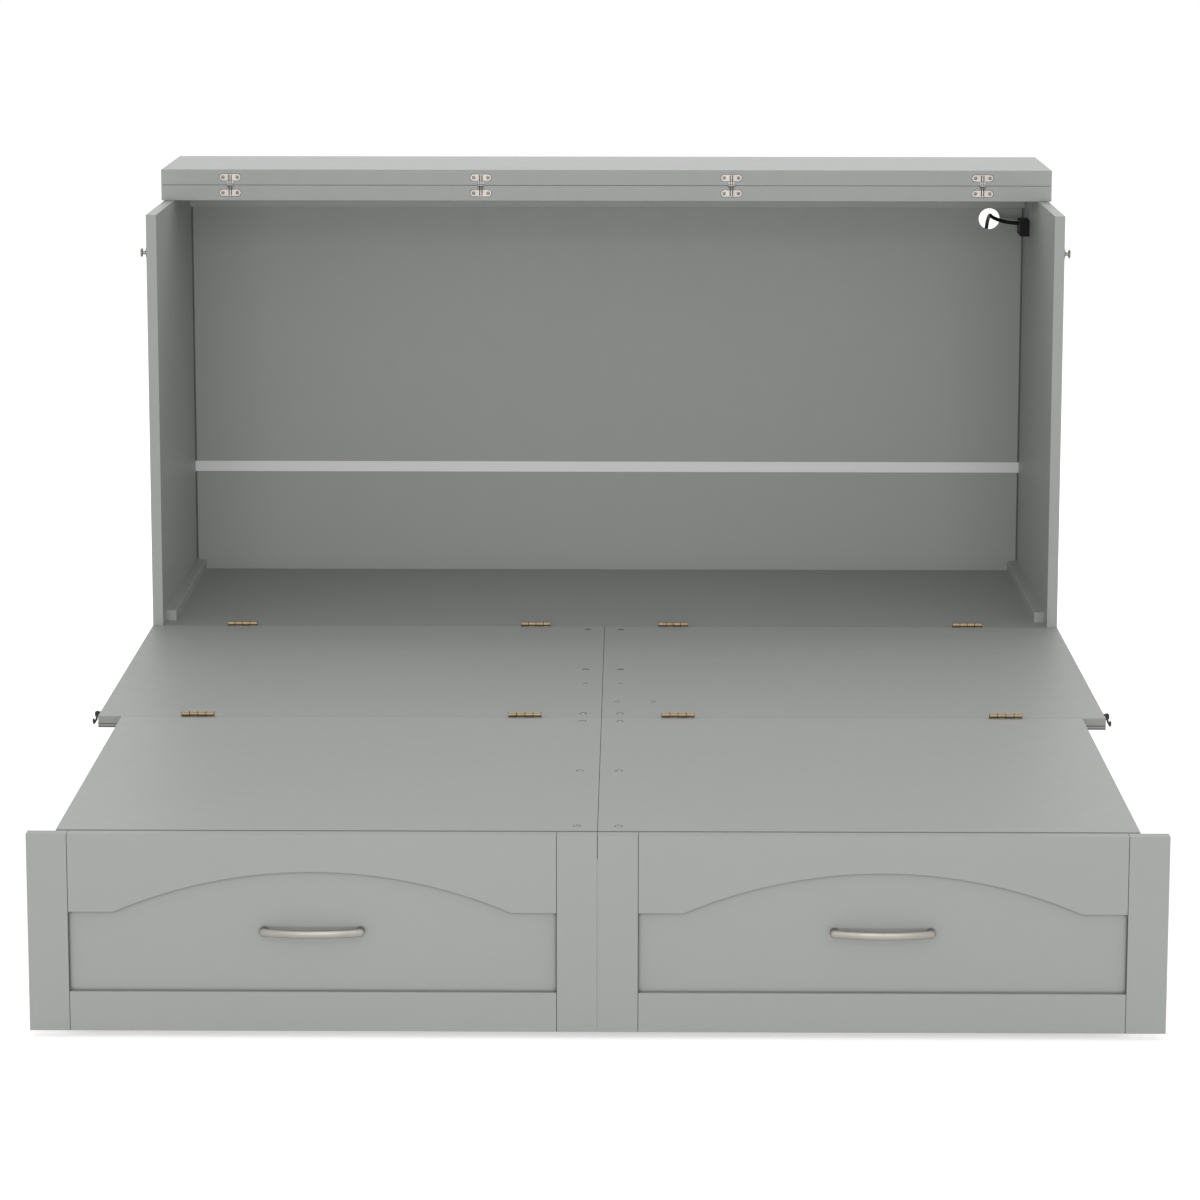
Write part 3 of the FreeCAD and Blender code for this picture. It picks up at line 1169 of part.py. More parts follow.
def charger_coil():
    route = coil_route()[0]
    start, along = coil_frame()
    coil = tube(route, CORD_RADIUS, start, along)
    wanted = math.pi * CORD_RADIUS ** 2 * route.Length
    print("coil: length %.0f, volume ratio %.4f, least gap %.2f"
          % (route.Length, coil.Volume / wanted, least_gap(route)))
    return coil


def charger_plug():
    """A two-blade plug at the coil's end, with a tapered strain relief."""
    at, along = coil_route()[1:]
    half, high = PLUG_WIDTH / 2, 2 * at.z
    body = Part.makeBox(PLUG_LENGTH, PLUG_WIDTH, high, V(RELIEF_LENGTH, -half, -at.z))
    body = body.makeFillet(PLUG_CORNER, parallel_edges(body, V(0, 0, 1)))
    plug = body.fuse(Part.makeCone(CORD_RADIUS, RELIEF_END, RELIEF_LENGTH + 1, V(0, 0, 0), V(1, 0, 0)))
    face = RELIEF_LENGTH + PLUG_LENGTH
    for s in (-1, 1):
        y = s * BLADE_SPACING / 2
        plug = plug.fuse(block(face - 1, face + BLADE_LENGTH, y - BLADE_THICK / 2,
                               y + BLADE_THICK / 2, -BLADE_WIDTH / 2, BLADE_WIDTH / 2))
    plug = plug.removeSplitter()
    plug.Placement = FreeCAD.Placement(at, FreeCAD.Rotation(V(1, 0, 0), along))
    return plug


# ---- all nodes ----------------------------------------------------------------------------------
def main():
    os.makedirs("parts", exist_ok=True)
    save("left_side_panel", mirrored(side_panel()))
    save("right_side_panel", right_side_panel())
    save("upper_back_panel", upper_back_panel())
    save("lower_back_panel", back_panel(GLIDE_HEIGHT, STRIP_HEIGHT - STRIP_WALL))
    save("back_joining_strip", joining_strip())
    save("top_back_rail", top_back_rail())
    save("fixed_platform", fixed_platform())
    save("platform_ledges", *platform_ledges())
    save("center_partition", center_partition())
    save("side_cleats", *side_cleats())
    save("cleat_screws", *cleat_screw_list())
    save("cabinet_glides", *cabinet_glides())
    save("latch_studs", latch_stud(), mirrored(latch_stud()))
    save("usb_charger", usb_charger())

    save("lid_rear_half", lid_half(False))
    save("lid_front_half", lid_half(True))
    places = lid_hinge_places()
    save("lid_hinge_fixed_leaves", *[lid_leaf(x, False) for x in places],
         *[lid_pin(x) for x in places])
    save("lid_hinge_moving_leaves", *[lid_leaf(x, True) for x in places])

    save("rear_hinge_fixed_leaves", *hinge_set(FOLD_1, False), *pin_set(FOLD_1))
    save("rear_hinge_moving_leaves", *hinge_set(FOLD_1, True))
    save("middle_panel_right", middle_panel(True))
    save("middle_panel_left", mirrored(middle_panel(False)))
    save("middle_face_frame", *middle_frame(True), *[mirrored(p) for p in middle_frame(False)])
    save("middle_bolts", *[bolt(x, y) for x, y in section_bolts(FOLD_1, FOLD_2)],
         *[small_bolt(x, y) for x, y in small_bolt_places()])
    save("middle_hinge_rear_leaves", *hinge_set(FOLD_2, False), *pin_set(FOLD_2))
    save("middle_hinge_front_leaves", *hinge_set(FOLD_2, True))
    save("leg_bracket", leg_bracket(), leg_pin())
    save("leg_catch", leg_catch())
    save("support_leg", support_leg())
    save("hook_pivots", hook_pivot(), mirrored(hook_pivot()))
    save("right_hook", hook())
    save("left_hook", mirrored(hook()))

    save("foot_panel_right", foot_panel())
    save("foot_panel_left", mirrored(foot_panel()))
    save("foot_battens", *foot_battens())
    save("foot_bolts", *[bolt(x, y) for x, y in section_bolts(FOLD_2, FOOT_END)])

    save_drawer("right", lambda shape: shape)
    save_drawer("left", mirrored)

    save("charger_cord", charger_cord())
    save("charger_cord_coil", charger_coil())
    save("charger_plug", charger_plug())


main()
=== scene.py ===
"""A cabinet bed, shown open: lid folded back, platform unfolded, drawers out under its foot.

Metres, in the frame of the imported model: +X to the right seen from the foot, +Y towards the head,
+Z up, and the origin on the floor at the middle of the bed.
"""

import math

import bmesh
import bpy
from mathutils import Matrix, Vector


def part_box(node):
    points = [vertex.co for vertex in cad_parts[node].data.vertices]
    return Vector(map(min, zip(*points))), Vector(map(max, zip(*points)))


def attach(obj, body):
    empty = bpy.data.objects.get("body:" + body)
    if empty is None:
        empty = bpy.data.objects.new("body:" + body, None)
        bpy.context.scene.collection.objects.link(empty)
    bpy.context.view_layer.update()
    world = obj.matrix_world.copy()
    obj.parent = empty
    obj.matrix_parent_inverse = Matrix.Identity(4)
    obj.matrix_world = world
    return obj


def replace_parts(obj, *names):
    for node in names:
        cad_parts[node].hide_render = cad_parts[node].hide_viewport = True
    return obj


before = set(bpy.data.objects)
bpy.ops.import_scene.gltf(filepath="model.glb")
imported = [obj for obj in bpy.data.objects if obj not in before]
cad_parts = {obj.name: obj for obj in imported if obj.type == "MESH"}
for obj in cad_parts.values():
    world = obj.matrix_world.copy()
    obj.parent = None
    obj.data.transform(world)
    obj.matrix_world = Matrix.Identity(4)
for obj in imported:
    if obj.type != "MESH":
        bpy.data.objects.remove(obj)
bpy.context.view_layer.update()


# ---- studio -------------------------------------------------------------------------------------
# A photographer's white room: a pale matt floor that runs off into white, even light from all round,
# a long low lamp bank far before the foot, a higher one nearer, a softer one high behind, and a
# camera on a tripod a little over six metres from the bed, at the height of a standing person's eyes.
CAMERA_AT = (0.04632, -6.38462, 1.70085)
CAMERA_TURN = -0.4589       # degrees to the right, up and clockwise
CAMERA_TILT = -9.4002
CAMERA_ROLL = 0.0472
SENSOR = 36.0
FOCAL_LENGTH = 116.616
RISE = -0.1                 # shift of the back of the camera, in frame heights

FLOOR_HALF = 14.0
AMBIENT = 0.70
PURE_WHITE = 1.0
FLOOR_LIFT = 0.56           # of white, added where the floor is seen

eye = bpy.data.cameras.new("camera")
eye.sensor_width = SENSOR
eye.lens = FOCAL_LENGTH
eye.shift_y = RISE
eye.clip_end = 60.0
camera = bpy.data.objects.new("camera", eye)
camera.matrix_world = (Matrix.Translation(CAMERA_AT)
                       @ Matrix.Rotation(math.radians(-CAMERA_TURN), 4, "Z")
                       @ Matrix.Rotation(math.radians(90 + CAMERA_TILT), 4, "X")
                       @ Matrix.Rotation(math.radians(CAMERA_ROLL), 4, "Z"))
scene = bpy.context.scene
scene.collection.objects.link(camera)
scene.camera = camera
scene.view_settings.view_transform = "Standard"


class Wire:
    """An output socket of a material. Arithmetic on it adds Math nodes; node() adds any other."""

    def __init__(self, tree, socket=None):
        self.tree = tree
        self.socket = socket

    def node(self, kind, settings=None, sockets=None, output=0):
        """Adds a node, sets its settings and then its sockets, and gives one of its outputs."""
        made = self.tree.nodes.new("ShaderNode" + kind)
        for name, value in (settings or {}).items():
            setattr(made, name, value)
        for name, value in (sockets or {}).items():
            if isinstance(value, Wire):
                self.tree.links.new(value.socket, made.inputs[name])
            else:
                made.inputs[name].default_value = value
        return Wire(self.tree, made.outputs[output]) if made.outputs else None

    def math(self, operation, *others):
        """Adds a Math node for this socket alone, or for this one and another value."""
        return self.node("Math", {"operation": operation}, dict(enumerate((self, *others))))

    def __add__(self, other):
        return self.math("ADD", other)

    def __sub__(self, other):
        return self.math("SUBTRACT", other)

    def __mul__(self, other):
        return self.math("MULTIPLY", other)

    def __truediv__(self, other):
        return self.math("DIVIDE", other)

    def __abs__(self):
        return self.math("ABSOLUTE")

    def __gt__(self, other):
        return self.math("GREATER_THAN", other)

    def __lt__(self, other):
        return self.math("LESS_THAN", other)


def blank(block):
    """Empties a material's or world's node tree and gives a Wire to build in it."""
    block.use_nodes = True
    block.node_tree.nodes.clear()
    return Wire(block.node_tree)


def rays_that_see_white(start):
    """1 for what the camera sees directly, in polished metal or through glass; 0 for other light."""
    direct, mirrored, through = [start.node("LightPath", output=name) for name in
                                 ("Is Camera Ray", "Is Glossy Ray", "Is Transmission Ray")]
    return direct.math("MAXIMUM", mirrored).math("MAXIMUM", through)


sky = bpy.data.worlds.new("studio")
scene.world = sky
start = blank(sky)
glow = rays_that_see_white(start) * (PURE_WHITE - AMBIENT) + AMBIENT
light = start.node("Background", None, {"Color": (1.0, 1.0, 1.0, 1.0), "Strength": glow})
start.node("OutputWorld", None, {"Surface": light})


def sweep_finish():
    """Matt white vinyl; it keeps the bed's soft shadow and is white everywhere else."""
    material = bpy.data.materials.new("sweep")
    start = blank(material)
    matt = start.node("BsdfDiffuse", None, {"Color": (0.82, 0.82, 0.82, 1.0)})
    lift = start.node("Emission", None, {"Color": (1.0, 1.0, 1.0, 1.0),
                                         "Strength": rays_that_see_white(start) * FLOOR_LIFT})
    both = start.node("AddShader", None, {0: matt, 1: lift})
    start.node("OutputMaterial", None, {"Surface": both})
    return material


def mesh_object(name, form, finish, smooth=True):
    """Puts a bmesh into the scene as one piece with one material."""
    mesh = bpy.data.meshes.new(name)
    form.to_mesh(mesh)
    form.free()
    for face in mesh.polygons:
        face.use_smooth = smooth
    mesh.materials.append(finish)
    piece = bpy.data.objects.new(name, mesh)
    scene.collection.objects.link(piece)
    return piece


sheet = bmesh.new()
bmesh.ops.create_grid(sheet, x_segments=1, y_segments=1, size=FLOOR_HALF)
sweep = mesh_object("sweep", sheet, sweep_finish(), smooth=False)


def soft_box(name, at, towards, width, height, power):
    """A flat rectangular lamp that faces a point."""
    lamp = bpy.data.lights.new(name, "AREA")
    lamp.shape = "RECTANGLE"
    lamp.size = width
    lamp.size_y = height
    lamp.energy = power
    holder = bpy.data.objects.new(name, lamp)
    holder.location = at
    aim = Vector(towards) - Vector(at)
    holder.rotation_euler = aim.to_track_quat("-Z", "Y").to_euler()
    scene.collection.objects.link(holder)


soft_box("bank", (0.0, -11.0, 0.7), (0.0, 0.0, 0.7), 8.0, 1.2, 258.0)
soft_box("high_front", (0.0, -6.0, 3.4), (0.0, -0.8, 0.3), 2.4, 0.8, 24.0)
soft_box("high_rear", (0.0, 3.0, 4.0), (0.0, -0.4, 0.4), 5.0, 2.0, 67.0)


# ---- charger lead -------------------------------------------------------------------------------
# A black two-core lead, 7 mm thick and 1.93 m long. It leaves the charger's housing, goes out
# through the hole in the back and down behind it, and its spare length lies on the floor in a flat
# coil of three turns, with a moulded two-blade plug at the end.
LEAD = 0.007
COIL_RADIUS = 0.042
COIL_PITCH = 0.0081
COIL_TURNS = 1.5            # in each of the two layers
COIL_CLIMB = 0.5            # of a turn, from the lower layer to the upper
COIL_POINTS = 14            # of the spline, for each turn
COIL_STRAIGHT = 0.007       # before the first turn and after the last
COIL_TUCK = 0.3             # share of the pitch that the lead keeps inwards as it climbs

back_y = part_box("upper_back_panel")[0].y
charger_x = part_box("usb_charger")[0].x
hole_x = 0.729
lead_route = [
    (charger_x, back_y - 0.076, 0.981), (charger_x - 0.016, back_y - 0.076, 0.982),
    (hole_x + 0.0165, back_y - 0.070, 0.985), (hole_x + 0.0055, back_y - 0.0585, 0.988),
    (hole_x, back_y - 0.0435, 0.9905), (hole_x, back_y - 0.025, 0.9915),
    (hole_x - 0.0005, back_y - 0.007, 0.989), (hole_x - 0.0015, back_y + 0.0095, 0.981),
    (hole_x - 0.0025, back_y + 0.022, 0.9685), (hole_x - 0.0035, back_y + 0.029, 0.952),
    (hole_x - 0.0045, back_y + 0.0305, 0.930), (hole_x - 0.005, back_y + 0.031, 0.896),
    (hole_x - 0.0055, back_y + 0.0315, 0.836), (hole_x - 0.0065, back_y + 0.032, 0.745),
    (hole_x - 0.008, back_y + 0.0325, 0.648), (hole_x - 0.010, back_y + 0.033, 0.550),
    (hole_x - 0.0125, back_y + 0.0335, 0.452), (hole_x - 0.0155, back_y + 0.034, 0.356),
    (hole_x - 0.0185, back_y + 0.035, 0.266), (hole_x - 0.021, back_y + 0.036, 0.186),
    (hole_x - 0.0225, back_y + 0.037, 0.124), (hole_x - 0.0235, back_y + 0.0385, 0.079),
    (hole_x - 0.024, back_y + 0.041, 0.048), (hole_x - 0.024, back_y + 0.050, 0.0275),
    (hole_x - 0.0245, back_y + 0.0655, 0.0115), (hole_x - 0.0245, back_y + 0.086, 0.0035),
    (hole_x - 0.024, back_y + 0.107, 0.0035)]

start_of_coil = Vector(lead_route[-1])
inwards = start_of_coil - Vector(lead_route[-2])
inwards.z = 0.0
inwards.normalize()
sideways = Vector((inwards.y, -inwards.x, 0.0))
coil_middle = start_of_coil + inwards * COIL_STRAIGHT + sideways * COIL_RADIUS
innermost = COIL_RADIUS - COIL_PITCH * COIL_TURNS
spread = 1 / math.cos(math.pi / COIL_POINTS)
for step in range(int((2 * COIL_TURNS + COIL_CLIMB) * COIL_POINTS) + 1):
    turn = step / COIL_POINTS
    climb = min(max((turn - COIL_TURNS) / COIL_CLIMB, 0.0), 1.0)
    if turn <= COIL_TURNS:
        reach = COIL_RADIUS - COIL_PITCH * turn
    else:
        reach = innermost + COIL_PITCH * max(turn - COIL_TURNS - COIL_CLIMB, 0.0)
    reach -= COIL_TUCK * COIL_PITCH * math.sin(math.pi * climb)
    angle = 2 * math.pi * turn
    spot = coil_middle + (inwards * math.sin(angle) - sideways * math.cos(angle)) * reach * spread
    lead_route.append((spot.x, spot.y, LEAD / 2 + COIL_PITCH * climb))
outwards = inwards * math.cos(angle) + sideways * math.sin(angle)
end_of_coil = coil_middle + (inwards * math.sin(angle) - sideways * math.cos(angle)) * reach
plug_tail = end_of_coil + outwards * COIL_STRAIGHT
lead_route.append((plug_tail.x, plug_tail.y, LEAD / 2 + COIL_PITCH))

line = bpy.data.curves.new("charger_lead", "CURVE")
line.dimensions = "3D"
line.bevel_depth = LEAD / 2
line.bevel_resolution = 5
line.resolution_u = 6
line.use_fill_caps = True
spline = line.splines.new("NURBS")
spline.points.add(len(lead_route) - 1)
for point, spot in zip(spline.points, lead_route):
    point.co = (*spot, 1.0)
spline.order_u = 3
spline.use_endpoint_u = True
lead = bpy.data.objects.new("charger_lead", line)
scene.collection.objects.link(lead)


def tone(red, green, blue):
    """A color as it looks, from 0 to 255, as the light that a shader takes."""
    def light(value):
        share = value / 255
        return share / 12.92 if share <= 0.04045 else ((share + 0.055) / 1.055) ** 2.4
    return (light(red), light(green), light(blue), 1.0)


def surface(start, sockets):
    """Closes a material with a Principled shader."""
    shader = start.node("BsdfPrincipled", None, sockets)
    start.node("OutputMaterial", None, {"Surface": shader})


def mixed(share, first, second):
    """Two colors mixed by a share from 0 to 1 that varies over the surface."""
    return share.node("Mix", {"data_type": "RGBA"}, {0: share, 6: first, 7: second}, output=2)


def black_plastic(name, shade, roughness, grain):
    """Moulded black plastic with a fine spark-eroded grain."""
    material = bpy.data.materials.new(name)
    start = blank(material)
    place = start.node("TexCoord", output="Object")
    spark = start.node("TexNoise", None, {"Vector": place, "Scale": grain, "Detail": 3.0})
    dust = start.node("TexNoise", None, {"Vector": place, "Scale": 40.0, "Detail": 4.0})
    lifted = start.node("Bump", None, {"Strength": 0.25, "Distance": 0.0002, "Height": spark})
    surface(start, {"Base Color": mixed(dust, tone(*shade), tone(*[v + 7 for v in shade])),
                    "Roughness": dust * 0.18 + roughness, "Normal": lifted,
                    "Specular IOR Level": 0.16})
    return material


rubber = black_plastic("black_pvc", (9, 9, 10), 0.42, 900.0)
line.materials.append(rubber)
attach(lead, "cabinet")
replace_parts(lead, "charger_cord", "charger_cord_coil")


def dress(material, *nodes):
    """Gives modelled parts their finish."""
    for name in nodes:
        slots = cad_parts[name].data.materials
        slots.clear()
        slots.append(material)


dress(rubber, "charger_plug")
dress(black_plastic("charger_case", (6, 6, 7), 0.40, 1400.0), "usb_charger")


# ---- side panels --------------------------------------------------------------------------------
# Two upright boards, 18.5 mm thick, sprayed in a satin gray enamel like every board that shows.
# The right one has a window for the charger. The spray leaves a faint orange peel and a slow
# drift in tone.
ENAMEL = (164, 166, 164)
ENAMEL_DEEP = (159, 161, 159)
SEAM_SHADE = (84, 85, 84)        # painted shade in the seam between two boards
CORNER_SHADE = (114, 116, 114)    # painted shade in an inner corner
CORNER_SHADE_STARTS = 0.8         # share of open room in front of the paint, below which the painted shade begins
CORNER_SHADE_RATE = 3.0           # how fast, as that share falls


def axis_of(place, axis):
    """One coordinate of a place on the surface."""
    return place.node("SeparateXYZ", None, {0: place}, output="XYZ".index(axis))


def enamel(name, light_tone=ENAMEL, deep_tone=ENAMEL_DEEP, sheen=0.40, peel=0.16, joints=(),
           corner_shade_reach=0.0):
    """Satin gray enamel on a smooth board. Where boards meet, a fine dark line of painted shade stands
    for the shadow in the seam: each shaded seam is an axis, the distance along it from the origin and the
    line's half width. In inner corners the colour darkens as painted shade, out to that reach from the corner."""
    material = bpy.data.materials.new(name)
    start = blank(material)
    place = start.node("TexCoord", output="Object")
    drift = start.node("TexNoise", None, {"Vector": place, "Scale": 2.3, "Detail": 3.0})
    mottle = start.node("TexNoise", None, {"Vector": place, "Scale": 38.0, "Detail": 2.0})
    skin = start.node("TexNoise", None, {"Vector": place, "Scale": 520.0, "Detail": 2.0})
    lifted = start.node("Bump", None, {"Strength": peel, "Distance": 0.0004, "Height": skin})
    color = mixed(drift * 0.8 + mottle * 0.2, tone(*light_tone), tone(*deep_tone))
    for axis, where, half_width in joints:
        along = abs(axis_of(place, axis))
        # painted shade: a dark line along each seam
        color = mixed(abs(along - where) < half_width, color, tone(*SEAM_SHADE))
    if corner_shade_reach:
        # painted shade: the colour darkens where ambient occlusion finds the surface hemmed in
        open_side = start.node("AmbientOcclusion", {"samples": 8}, {"Distance": corner_shade_reach}, output=1)
        color = mixed((open_side - CORNER_SHADE_STARTS) * -CORNER_SHADE_RATE, color, tone(*CORNER_SHADE))
    surface(start, {"Base Color": color, "Roughness": mottle * 0.10 + sheen, "Normal": lifted,
                    "Specular IOR Level": 0.42})
    return material


paint = enamel("gray_enamel")
dress(paint, "left_side_panel", "right_side_panel")


# ---- back ---------------------------------------------------------------------------------------
# Two sheets of coated hardboard in grooves, one above the other, joined by a white plastic
# H-shaped strip, and a painted rail behind the lid's hinge side. The upper sheet has the lead's hole.
GROOVE_SHADE = 0.0016        # half of the strip of painted shade along each side panel, where the sheet runs into its groove
groove_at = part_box("right_side_panel")[0].x - GROOVE_SHADE
# Its tones are set darker than the boards' enamel: painted shade for the inside of the cabinet.
hardboard = enamel("coated_hardboard_shaded", (158, 160, 158), (153, 155, 153), sheen=0.46, peel=0.10,
                   joints=[("X", groove_at, GROOVE_SHADE)])
dress(hardboard, "upper_back_panel", "lower_back_panel")
dress(paint, "top_back_rail")


def extruded_plastic(name, shade):
    """White plastic strip with the faint lengthwise lines of its die."""
    material = bpy.data.materials.new(name)
    start = blank(material)
    place = start.node("TexCoord", output="Object")
    drawn = start.node("VectorMath", {"operation": "MULTIPLY"}, {0: place, 1: (2.0, 300.0, 900.0)})
    lines = start.node("TexNoise", None, {"Vector": drawn, "Scale": 1.0, "Detail": 2.0})
    lifted = start.node("Bump", None, {"Strength": 0.2, "Distance": 0.0002, "Height": lines})
    surface(start, {"Base Color": mixed(lines, tone(*shade), tone(*[v - 8 for v in shade])),
                    "Roughness": lines * 0.12 + 0.34, "Normal": lifted})
    return material


dress(extruded_plastic("white_strip", (226, 227, 226)), "back_joining_strip")


# ---- fixed platform -----------------------------------------------------------------------------
# A painted board on four plain wooden ledges and an upright partition, with a square painted cleat
# along each side that keeps the mattress off the panels. Zinc-plated screws hold the cleats, and
# six plastic glides carry the cabinet.
def plain_wood(name, light_tone, deep_tone, along):
    """Clear-lacquered wood with its grain along one axis."""
    material = bpy.data.materials.new(name)
    start = blank(material)
    place = start.node("TexCoord", output="Object")
    stretch = tuple(2.2 if axis == along else 34.0 for axis in "XYZ")
    grain_place = start.node("VectorMath", {"operation": "MULTIPLY"}, {0: place, 1: stretch})
    wander = start.node("TexNoise", None, {"Vector": grain_place, "Scale": 1.0, "Detail": 6.0,
                                           "Distortion": 0.6})
    fiber_place = start.node("VectorMath", {"operation": "SCALE"}, {0: grain_place, "Scale": 14.0})
    fiber = start.node("TexNoise", None, {"Vector": fiber_place, "Scale": 1.0, "Detail": 3.0})
    band = (wander * 7.0).math("FRACT").math("PINGPONG", 0.5) * 1.4
    share = (band * 0.7 + fiber * 0.3).math("MINIMUM", 1.0)
    lifted = start.node("Bump", None, {"Strength": 0.3, "Distance": 0.0004, "Height": fiber})
    surface(start, {"Base Color": mixed(share, tone(*light_tone), tone(*deep_tone)),
                    "Roughness": share * 0.15 + 0.42, "Normal": lifted})
    return material


pine_x = plain_wood("pine_crosswise", (214, 184, 138), (186, 148, 100), "X")
pine_y = plain_wood("pine_lengthwise", (214, 184, 138), (186, 148, 100), "Y")
# A darker copy of the enamel for the fixed platform: painted shade for the board deep inside the cabinet.
dress(enamel("platform_enamel_shaded", (151, 153, 151), (146, 148, 146), sheen=0.48), "fixed_platform")
dress(paint, "side_cleats")
dress(pine_y, "platform_ledges", "center_partition")


def plated(name, light_tone, deep_tone, roughness, brushed=(1.0, 1.0, 1.0)):
    """Plated or polished metal, with the fine lines that its finishing leaves."""
    material = bpy.data.materials.new(name)
    start = blank(material)
    place = start.node("TexCoord", output="Object")
    drawn = start.node("VectorMath", {"operation": "MULTIPLY"}, {0: place, 1: brushed})
    lines = start.node("TexNoise", None, {"Vector": drawn, "Scale": 700.0, "Detail": 3.0})
    cloud = start.node("TexNoise", None, {"Vector": place, "Scale": 60.0, "Detail": 3.0})
    lifted = start.node("Bump", None, {"Strength": 0.12, "Distance": 0.0002, "Height": lines})
    surface(start, {"Base Color": mixed(cloud, tone(*light_tone), tone(*deep_tone)),
                    "Metallic": 1.0, "Roughness": lines * 0.14 + cloud * 0.08 + roughness,
                    "Normal": lifted})
    return material


def darkened(material, share, shade):
    """Lays a darker tone over a finished metal where the share is 1, and gives the metal back."""
    color = material.node_tree.nodes["Principled BSDF"].inputs["Base Color"]
    bright = Wire(material.node_tree, color.links[0].from_socket)
    material.node_tree.links.new(mixed(share, bright, tone(*shade)).socket, color)
    return material


SCREW_DISH = 0.0012         # height of a head's cone
SCREW_OUTLINE = [(0, -SCREW_DISH), (0.55, -SCREW_DISH), (0.96, -0.0002), (1, 0.0),
                 (0.93, 0.00018), (0.5, 0.00032), (0, 0.00036)]      # share of the radius, height
CROSS_DEPTH = 0.0009
CROSS_QUARTER = [(0.0017, -0.0004), (0.0017, 0.0004), (0.0004, 0.0004)]
ROUND_STEPS = 28
ONE_CORNER = 1e-6           # corners of a mesh that lie closer than this are one


def facing(spot, outward):
    """The place of a small turned part that stands on a spot and points outward."""
    turn = Vector(outward).to_track_quat("Z", "Y").to_matrix().to_4x4()
    return Matrix.Translation(spot) @ turn


def lathe(form, outline, place):
    """Turns an outline of (radius, height) pairs into a closed round solid about +Z of place."""
    angles = [2 * math.pi * k / ROUND_STEPS for k in range(ROUND_STEPS)]
    rings = []
    for radius, height in outline:
        around = angles if radius else [0.0]
        rings.append([form.verts.new(place @ Vector((radius * math.cos(angle),
                                                     radius * math.sin(angle), height)))
                      for angle in around])
    for lower, upper in zip(rings, rings[1:]):
        for k in range(ROUND_STEPS):
            corners = [lower[k % len(lower)], lower[(k + 1) % len(lower)],
                       upper[(k + 1) % len(upper)], upper[k % len(upper)]]
            form.faces.new(list(dict.fromkeys(corners)))


def carve(piece, cutter):
    """Cuts one piece's shape out of another and drops the cutter."""
    cut = piece.modifiers.new("cut", "BOOLEAN")
    cut.object = cutter
    cut.operation = "DIFFERENCE"
    cut.solver = "EXACT"
    bpy.context.view_layer.update()
    cut_piece = piece.evaluated_get(bpy.context.evaluated_depsgraph_get())
    result = bpy.data.meshes.new_from_object(cut_piece)
    piece.modifiers.clear()
    piece.data = result
    bpy.data.objects.remove(cutter)


def screw_heads(name, screws, radius, finish, body):
    """Countersunk cross-head screws: where each head lies on the surface, and which way it faces."""
    heads, crosses = bmesh.new(), bmesh.new()
    for spot, outward in screws:
        place = facing(spot, outward)
        lathe(heads, [(radius * share, height) for share, height in SCREW_OUTLINE], place)
        corners = [Matrix.Rotation(math.pi / 2 * k, 4, "Z") @ Vector((x, y, 0.0))
                   for k in range(4) for x, y in CROSS_QUARTER]
        floor, lid = [[crosses.verts.new(place @ (corner + Vector((0.0, 0.0, height))))
                       for corner in corners] for height in (-CROSS_DEPTH, CROSS_DEPTH)]
        crosses.faces.new(floor[::-1])
        crosses.faces.new(lid)
        for k in range(len(corners)):
            crosses.faces.new([floor[k - 1], floor[k], lid[k], lid[k - 1]])
    piece = mesh_object(name, heads, finish, smooth=False)
    carve(piece, mesh_object(name + "_cross", crosses, finish, smooth=False))
    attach(piece, body)
    return piece


def solids_of(node):
    """The lowest and highest corner of each separate solid in a modelled part."""
    form = bmesh.new()
    form.from_mesh(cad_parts[node].data)
    bmesh.ops.remove_doubles(form, verts=form.verts, dist=ONE_CORNER)
    left = set(form.verts)
    found = []
    while left:
        reached = [left.pop()]
        for vertex in reached:
            for edge in vertex.link_edges:
                other = edge.other_vert(vertex)
                if other in left:
                    left.remove(other)
                    reached.append(other)
        places = [tuple(vertex.co) for vertex in reached]
        found.append((Vector(map(min, zip(*places))), Vector(map(max, zip(*places)))))
    form.free()
    return sorted(found, key=lambda pair: tuple(pair[0]))


zinc = plated("zinc_plate", (186, 188, 186), (160, 164, 166), 0.28)
CLEAT_SCREW_SINK = 0.0004
CLEAT_SCREW_SHARE = 0.86    # of the width of the countersink that it stands in
cleat_screws = []
for low, high in solids_of("cleat_screws"):
    middle = (low + high) / 2
    side = math.copysign(1.0, middle.x)
    if high.z - low.z > high.x - low.x:
        cleat_screws.append(((middle.x, middle.y, high.z - CLEAT_SCREW_SINK), (0, 0, 1)))
    else:
        face = min(abs(low.x), abs(high.x)) + CLEAT_SCREW_SINK
        cleat_screws.append(((side * face, middle.y, middle.z), (-side, 0, 0)))
    cleat_screw_radius = (high.y - low.y) / 2 * CLEAT_SCREW_SHARE
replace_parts(screw_heads("cleat_screw_heads", cleat_screws, cleat_screw_radius, zinc, "cabinet"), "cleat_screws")

PANEL_SCREW_RADIUS = 0.0026
PANEL_SCREWS = [(1, 0.8469, 1.0224), (1, 0.8456, 1.0156), (-1, 0.8469, 1.0190)]      # side, y, z
panel_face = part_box("right_side_panel")[0].x
panel_screws = [((side * panel_face, y, z), (-side, 0, 0)) for side, y, z in PANEL_SCREWS]
blued_screw = plated("blued_screw", (46, 45, 44), (30, 30, 30), 0.4)
screw_heads("panel_screw_heads", panel_screws, PANEL_SCREW_RADIUS, blued_screw, "cabinet")
dress(black_plastic("glide_plastic", (30, 30, 31), 0.5, 900.0), "cabinet_glides")


